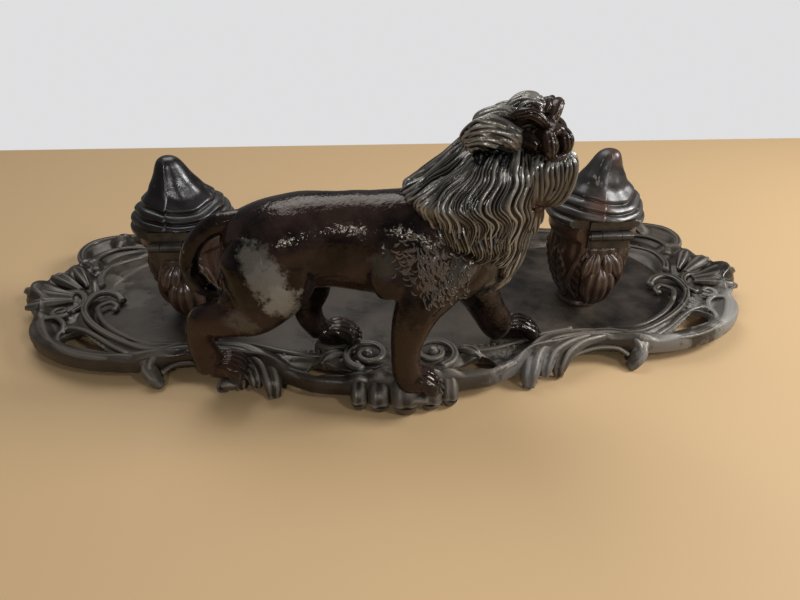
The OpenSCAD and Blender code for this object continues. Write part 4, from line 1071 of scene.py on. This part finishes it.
RUFF = [
    [(-5, -10.7, 0.6), (-6, -15.5, 2.4), (-8, -20.0, 2.0), (-9.4, -23.0, -0.8), (-9.8, -23.8, -4.4)],
    [(-9, -22.6, 0.4), (-6, -19.0, 1.4), (-3.6, -13.7, 0.4), (-1.6, -9.4, -2.6), (-1.6, -7.2, -6.4)],
    [(-9, -23.6, -1.9), (-6, -19.4, -1.4), (-3.6, -14.2, -2.8), (-1.4, -10.2, -5.4), (-1.0, -8.6, -9.0)],
    [(-9, -23.8, -4.0), (-6.4, -19.9, -4.0), (-4.4, -15.6, -5.6), (-2.2, -11.8, -8.0), (-1.4, -10.2, -11.2)],
    [(-9.4, -22.0, -6.4), (-7.6, -18.5, -7.0), (-5.8, -15.1, -8.6), (-3.6, -12.6, -10.4),
     (-2.6, -11.0, -12.6)]]
TUFT = [[(-4, -6.0, 3.4), (-7, -9.4, 5.0), (-9, -13.4, 5.0), (-11, -17.0, 3.8), (-12, -18.9, 1.6)],
        [(-4, -8.0, 1.6), (-5.4, -11.0, 3.0), (-7, -14.6, 3.5), (-9, -17.6, 2.6), (-10, -19.2, 0.6)]]
CROWN = [[(-3, 2.6, 3.0), (-5, 2.3, 6.1), (-7, -1.3, 7.0), (-8, -4.9, 6.0), (-9, -7.8, 4.2)],
         [(-1, 1.8, 2.0), (-3, -1.2, 5.2), (-5, -4.4, 5.4), (-6, -7.6, 4.2), (-6.6, -9.4, 2.2)]]
FORELOCK = [[(1.6, 0.9, 0.6), (0.8, -0.6, 3.4), (-0.6, -3.6, 4.7), (-1.6, -6.3, 3.9), (-2, -7.9, 1.9)],
            [(1.4, 0.6, 1.4), (0.4, 2.4, 3.6), (-1.6, 4.4, 4.4), (-3, 6.6, 3.2), (-3, 7.9, 1.2)]]
FAR_LUMP = [[(-3, 4.6, 3.2), (-3, 7.2, 2.9), (-2.4, 8.0, 0.9), (-1.6, 6.9, -2.0), (-1, 5.0, -3.5)],
            [(-6, 4.2, 3.6), (-6, 7.4, 3.6), (-5.6, 8.6, 0.6), (-5, 8.0, -3.0), (-5, 6.4, -6.5)]]
NAPE = [[(-7, -10.5, 2.4), (-11, -15, 1.2), (-14, -18, -3), (-15.5, -19.4, -8), (-15.5, -19, -13)],
        [(-8, -5.5, 4.6), (-13, -9, 3.6), (-18, -12, -1.4), (-21, -14, -8), (-21.6, -14.6, -15)],
        [(-8, 0, 5.2), (-13, 0, 4.4), (-19, -0.5, 0), (-23, -1, -7), (-24, -1, -15)],
        [(-8, 5, 4.4), (-13, 8, 3), (-18, 11, -2), (-21, 12, -8), (-21.6, 12, -15)],
        [(-6, 8, 1.4), (-10, 11, -1), (-14, 13, -5), (-16, 14, -10), (-16, 13.4, -15)]]
BEARD = [[(2, -5.4, -11.6), (2.6, -6.8, -15.9), (2.8, -7.9, -21.5), (2.2, -7.9, -26.4), (1, -7.0, -29)],
         [(5, -3.5, -12), (5.8, -4.2, -16), (5.2, -4.8, -21.5), (3.6, -5.8, -26), (1.4, -6.8, -29)],
         [(7, -0.3, -12.6), (7.6, -0.3, -16.5), (6.8, -1.0, -22), (4.4, -3.4, -26.6), (1.6, -6.2, -29.2)],
         [(6.4, 2.8, -12.6), (7.0, 4.0, -16.5), (5.8, 3.2, -22.5), (3.8, 0.2, -27), (1.4, -4.8, -29.6)],
         [(3.4, 5.6, -12.6), (4.0, 7.2, -15.5), (3.2, 7.2, -20.5), (1.6, 4.4, -26.2), (0.6, -0.4, -29.8)],
         [(-2, 7.4, -12), (-2.4, 8.2, -16), (-3, 8, -21), (-3, 5, -26), (-2, 1, -30)]]
LEAF_LOCK = [
    [(-5.0, -15.4, -13.5), (-3.4, -14.8, -19), (-2.0, -12.6, -25), (-1.6, -10.4, -30), (-2, -9.2, -35)],
    [(-3.4, -12.6, -13.5), (-1.4, -11.4, -18.5), (-0.4, -9.6, -24), (-0.4, -8.8, -29.5), (-1.4, -8.6, -34)]]

# guides, locks, widest and thickest (mm), which way they face, and how they differ from the rest
hair = []
for guides, count, wide, thick, facing, how in (
        (RUFF, 10, 2.3, 2.6, -FAR, {"groove": 0.55, "drift": 0.8}),
        (RUFF, 11, 1.9, 1.9, FAR, {"groove": 0.55, "far_side": True}),
        (TUFT, 7, 1.5, 1.7, CROWNWARD, {}),
        (TUFT, 4, 2.0, 1.9, CROWNWARD, {"reeds": 2, "far_side": True}),
        (CROWN, 7, 1.4, 1.6, CROWNWARD, {}),
        (FORELOCK, 7, 1.1, 1.4, FORWARD, {}),
        (FAR_LUMP, 5, 1.2, 1.4, FORWARD, {}),
        (NAPE, 24, 2.1, 2.0, CROWNWARD, {"drift": 0.6}),
        (BEARD, 8, 3.0, 2.8, FORWARD, {"reeds": 2, "groove": 0.5, "drift": 1.2}),
        (LEAF_LOCK, 3, 2.5, 1.9, FORWARD, {})):
    hair += family(guides, count, wide, thick, facing, **how)
# the beard's lowest knob and the loose locks under it
hair.append(knob(1.6, -6.8, -28.8, 1.8))
for b, length in ((-8.6, 8), (-6.6, 10), (-4.8, 7)):
    hair.append(feature([
        (0.6, -6.8, -28.6, 0.9, 0.9), (1, 0.7 * b - 2, -30.6, 1.5, 1.3),
        (0, b - 0.6, -30 - 0.6 * length, 1.5, 1.3), (-1, b - 1, -29.5 - length, 0.3, 0.3)], facing=FORWARD,
        rings=30, sides=20, reeds=1, groove=0.4))
head_hair = shape("head_hair", hair)
coat(head_hair, hair_bronze)
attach(head_hair, "stand")

# ---------------------------------------------------------------- lion: tail
# A bronze casting of its own, brazed into the rump: it rises, hangs in a hook and ends in a tuft behind
# the hock.

tail_line = [(-58, -46.5, 73.5, 4.2, 4.6), (-68, -46.9, 72.5, 4, 4.2), (-75.5, -47.1, 67.5, 3.7, 3.7),
             (-80.1, -47.3, 60, 3.6, 3.6), (-80.8, -47.3, 53, 3.7, 3.7), (-77.5, -47.1, 47, 3.6, 3.7),
             (-72.5, -46.9, 44, 1.2, 1.4)]
tuft = [sweep([
    (-79.8, -47.3 + 2.4 * k, 58, 1, 1), (-81, -47.3 + 3 * k, 53, 2, 2),
    (-78.6, -47.1 + 3.2 * k, 47.5, 2.2, 2.2), (-73.5, -46.9 + 2 * k, 43.6, 1.4, 1.6),
    (-70, -46.9 + k, 42.6, 0.3, 0.3)], across=ACROSS, rings=40, sides=24, reeds=2, groove=0.3)
    for k in (-1, 0, 1)]
tail = cast("tail_cast", [limb(tail_line)] + tuft, 0.4, 2)
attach(tail, "stand")
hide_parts("lion_tail")

# ---------------------------------------------------------------- screws
# Dull steel screws that run up from under the tray: one into each of the lion's four paws, and one into
# the foot of each pot.

for name in ("paw_screws", "pot_screws"):
    coat(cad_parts[name], pin_steel)
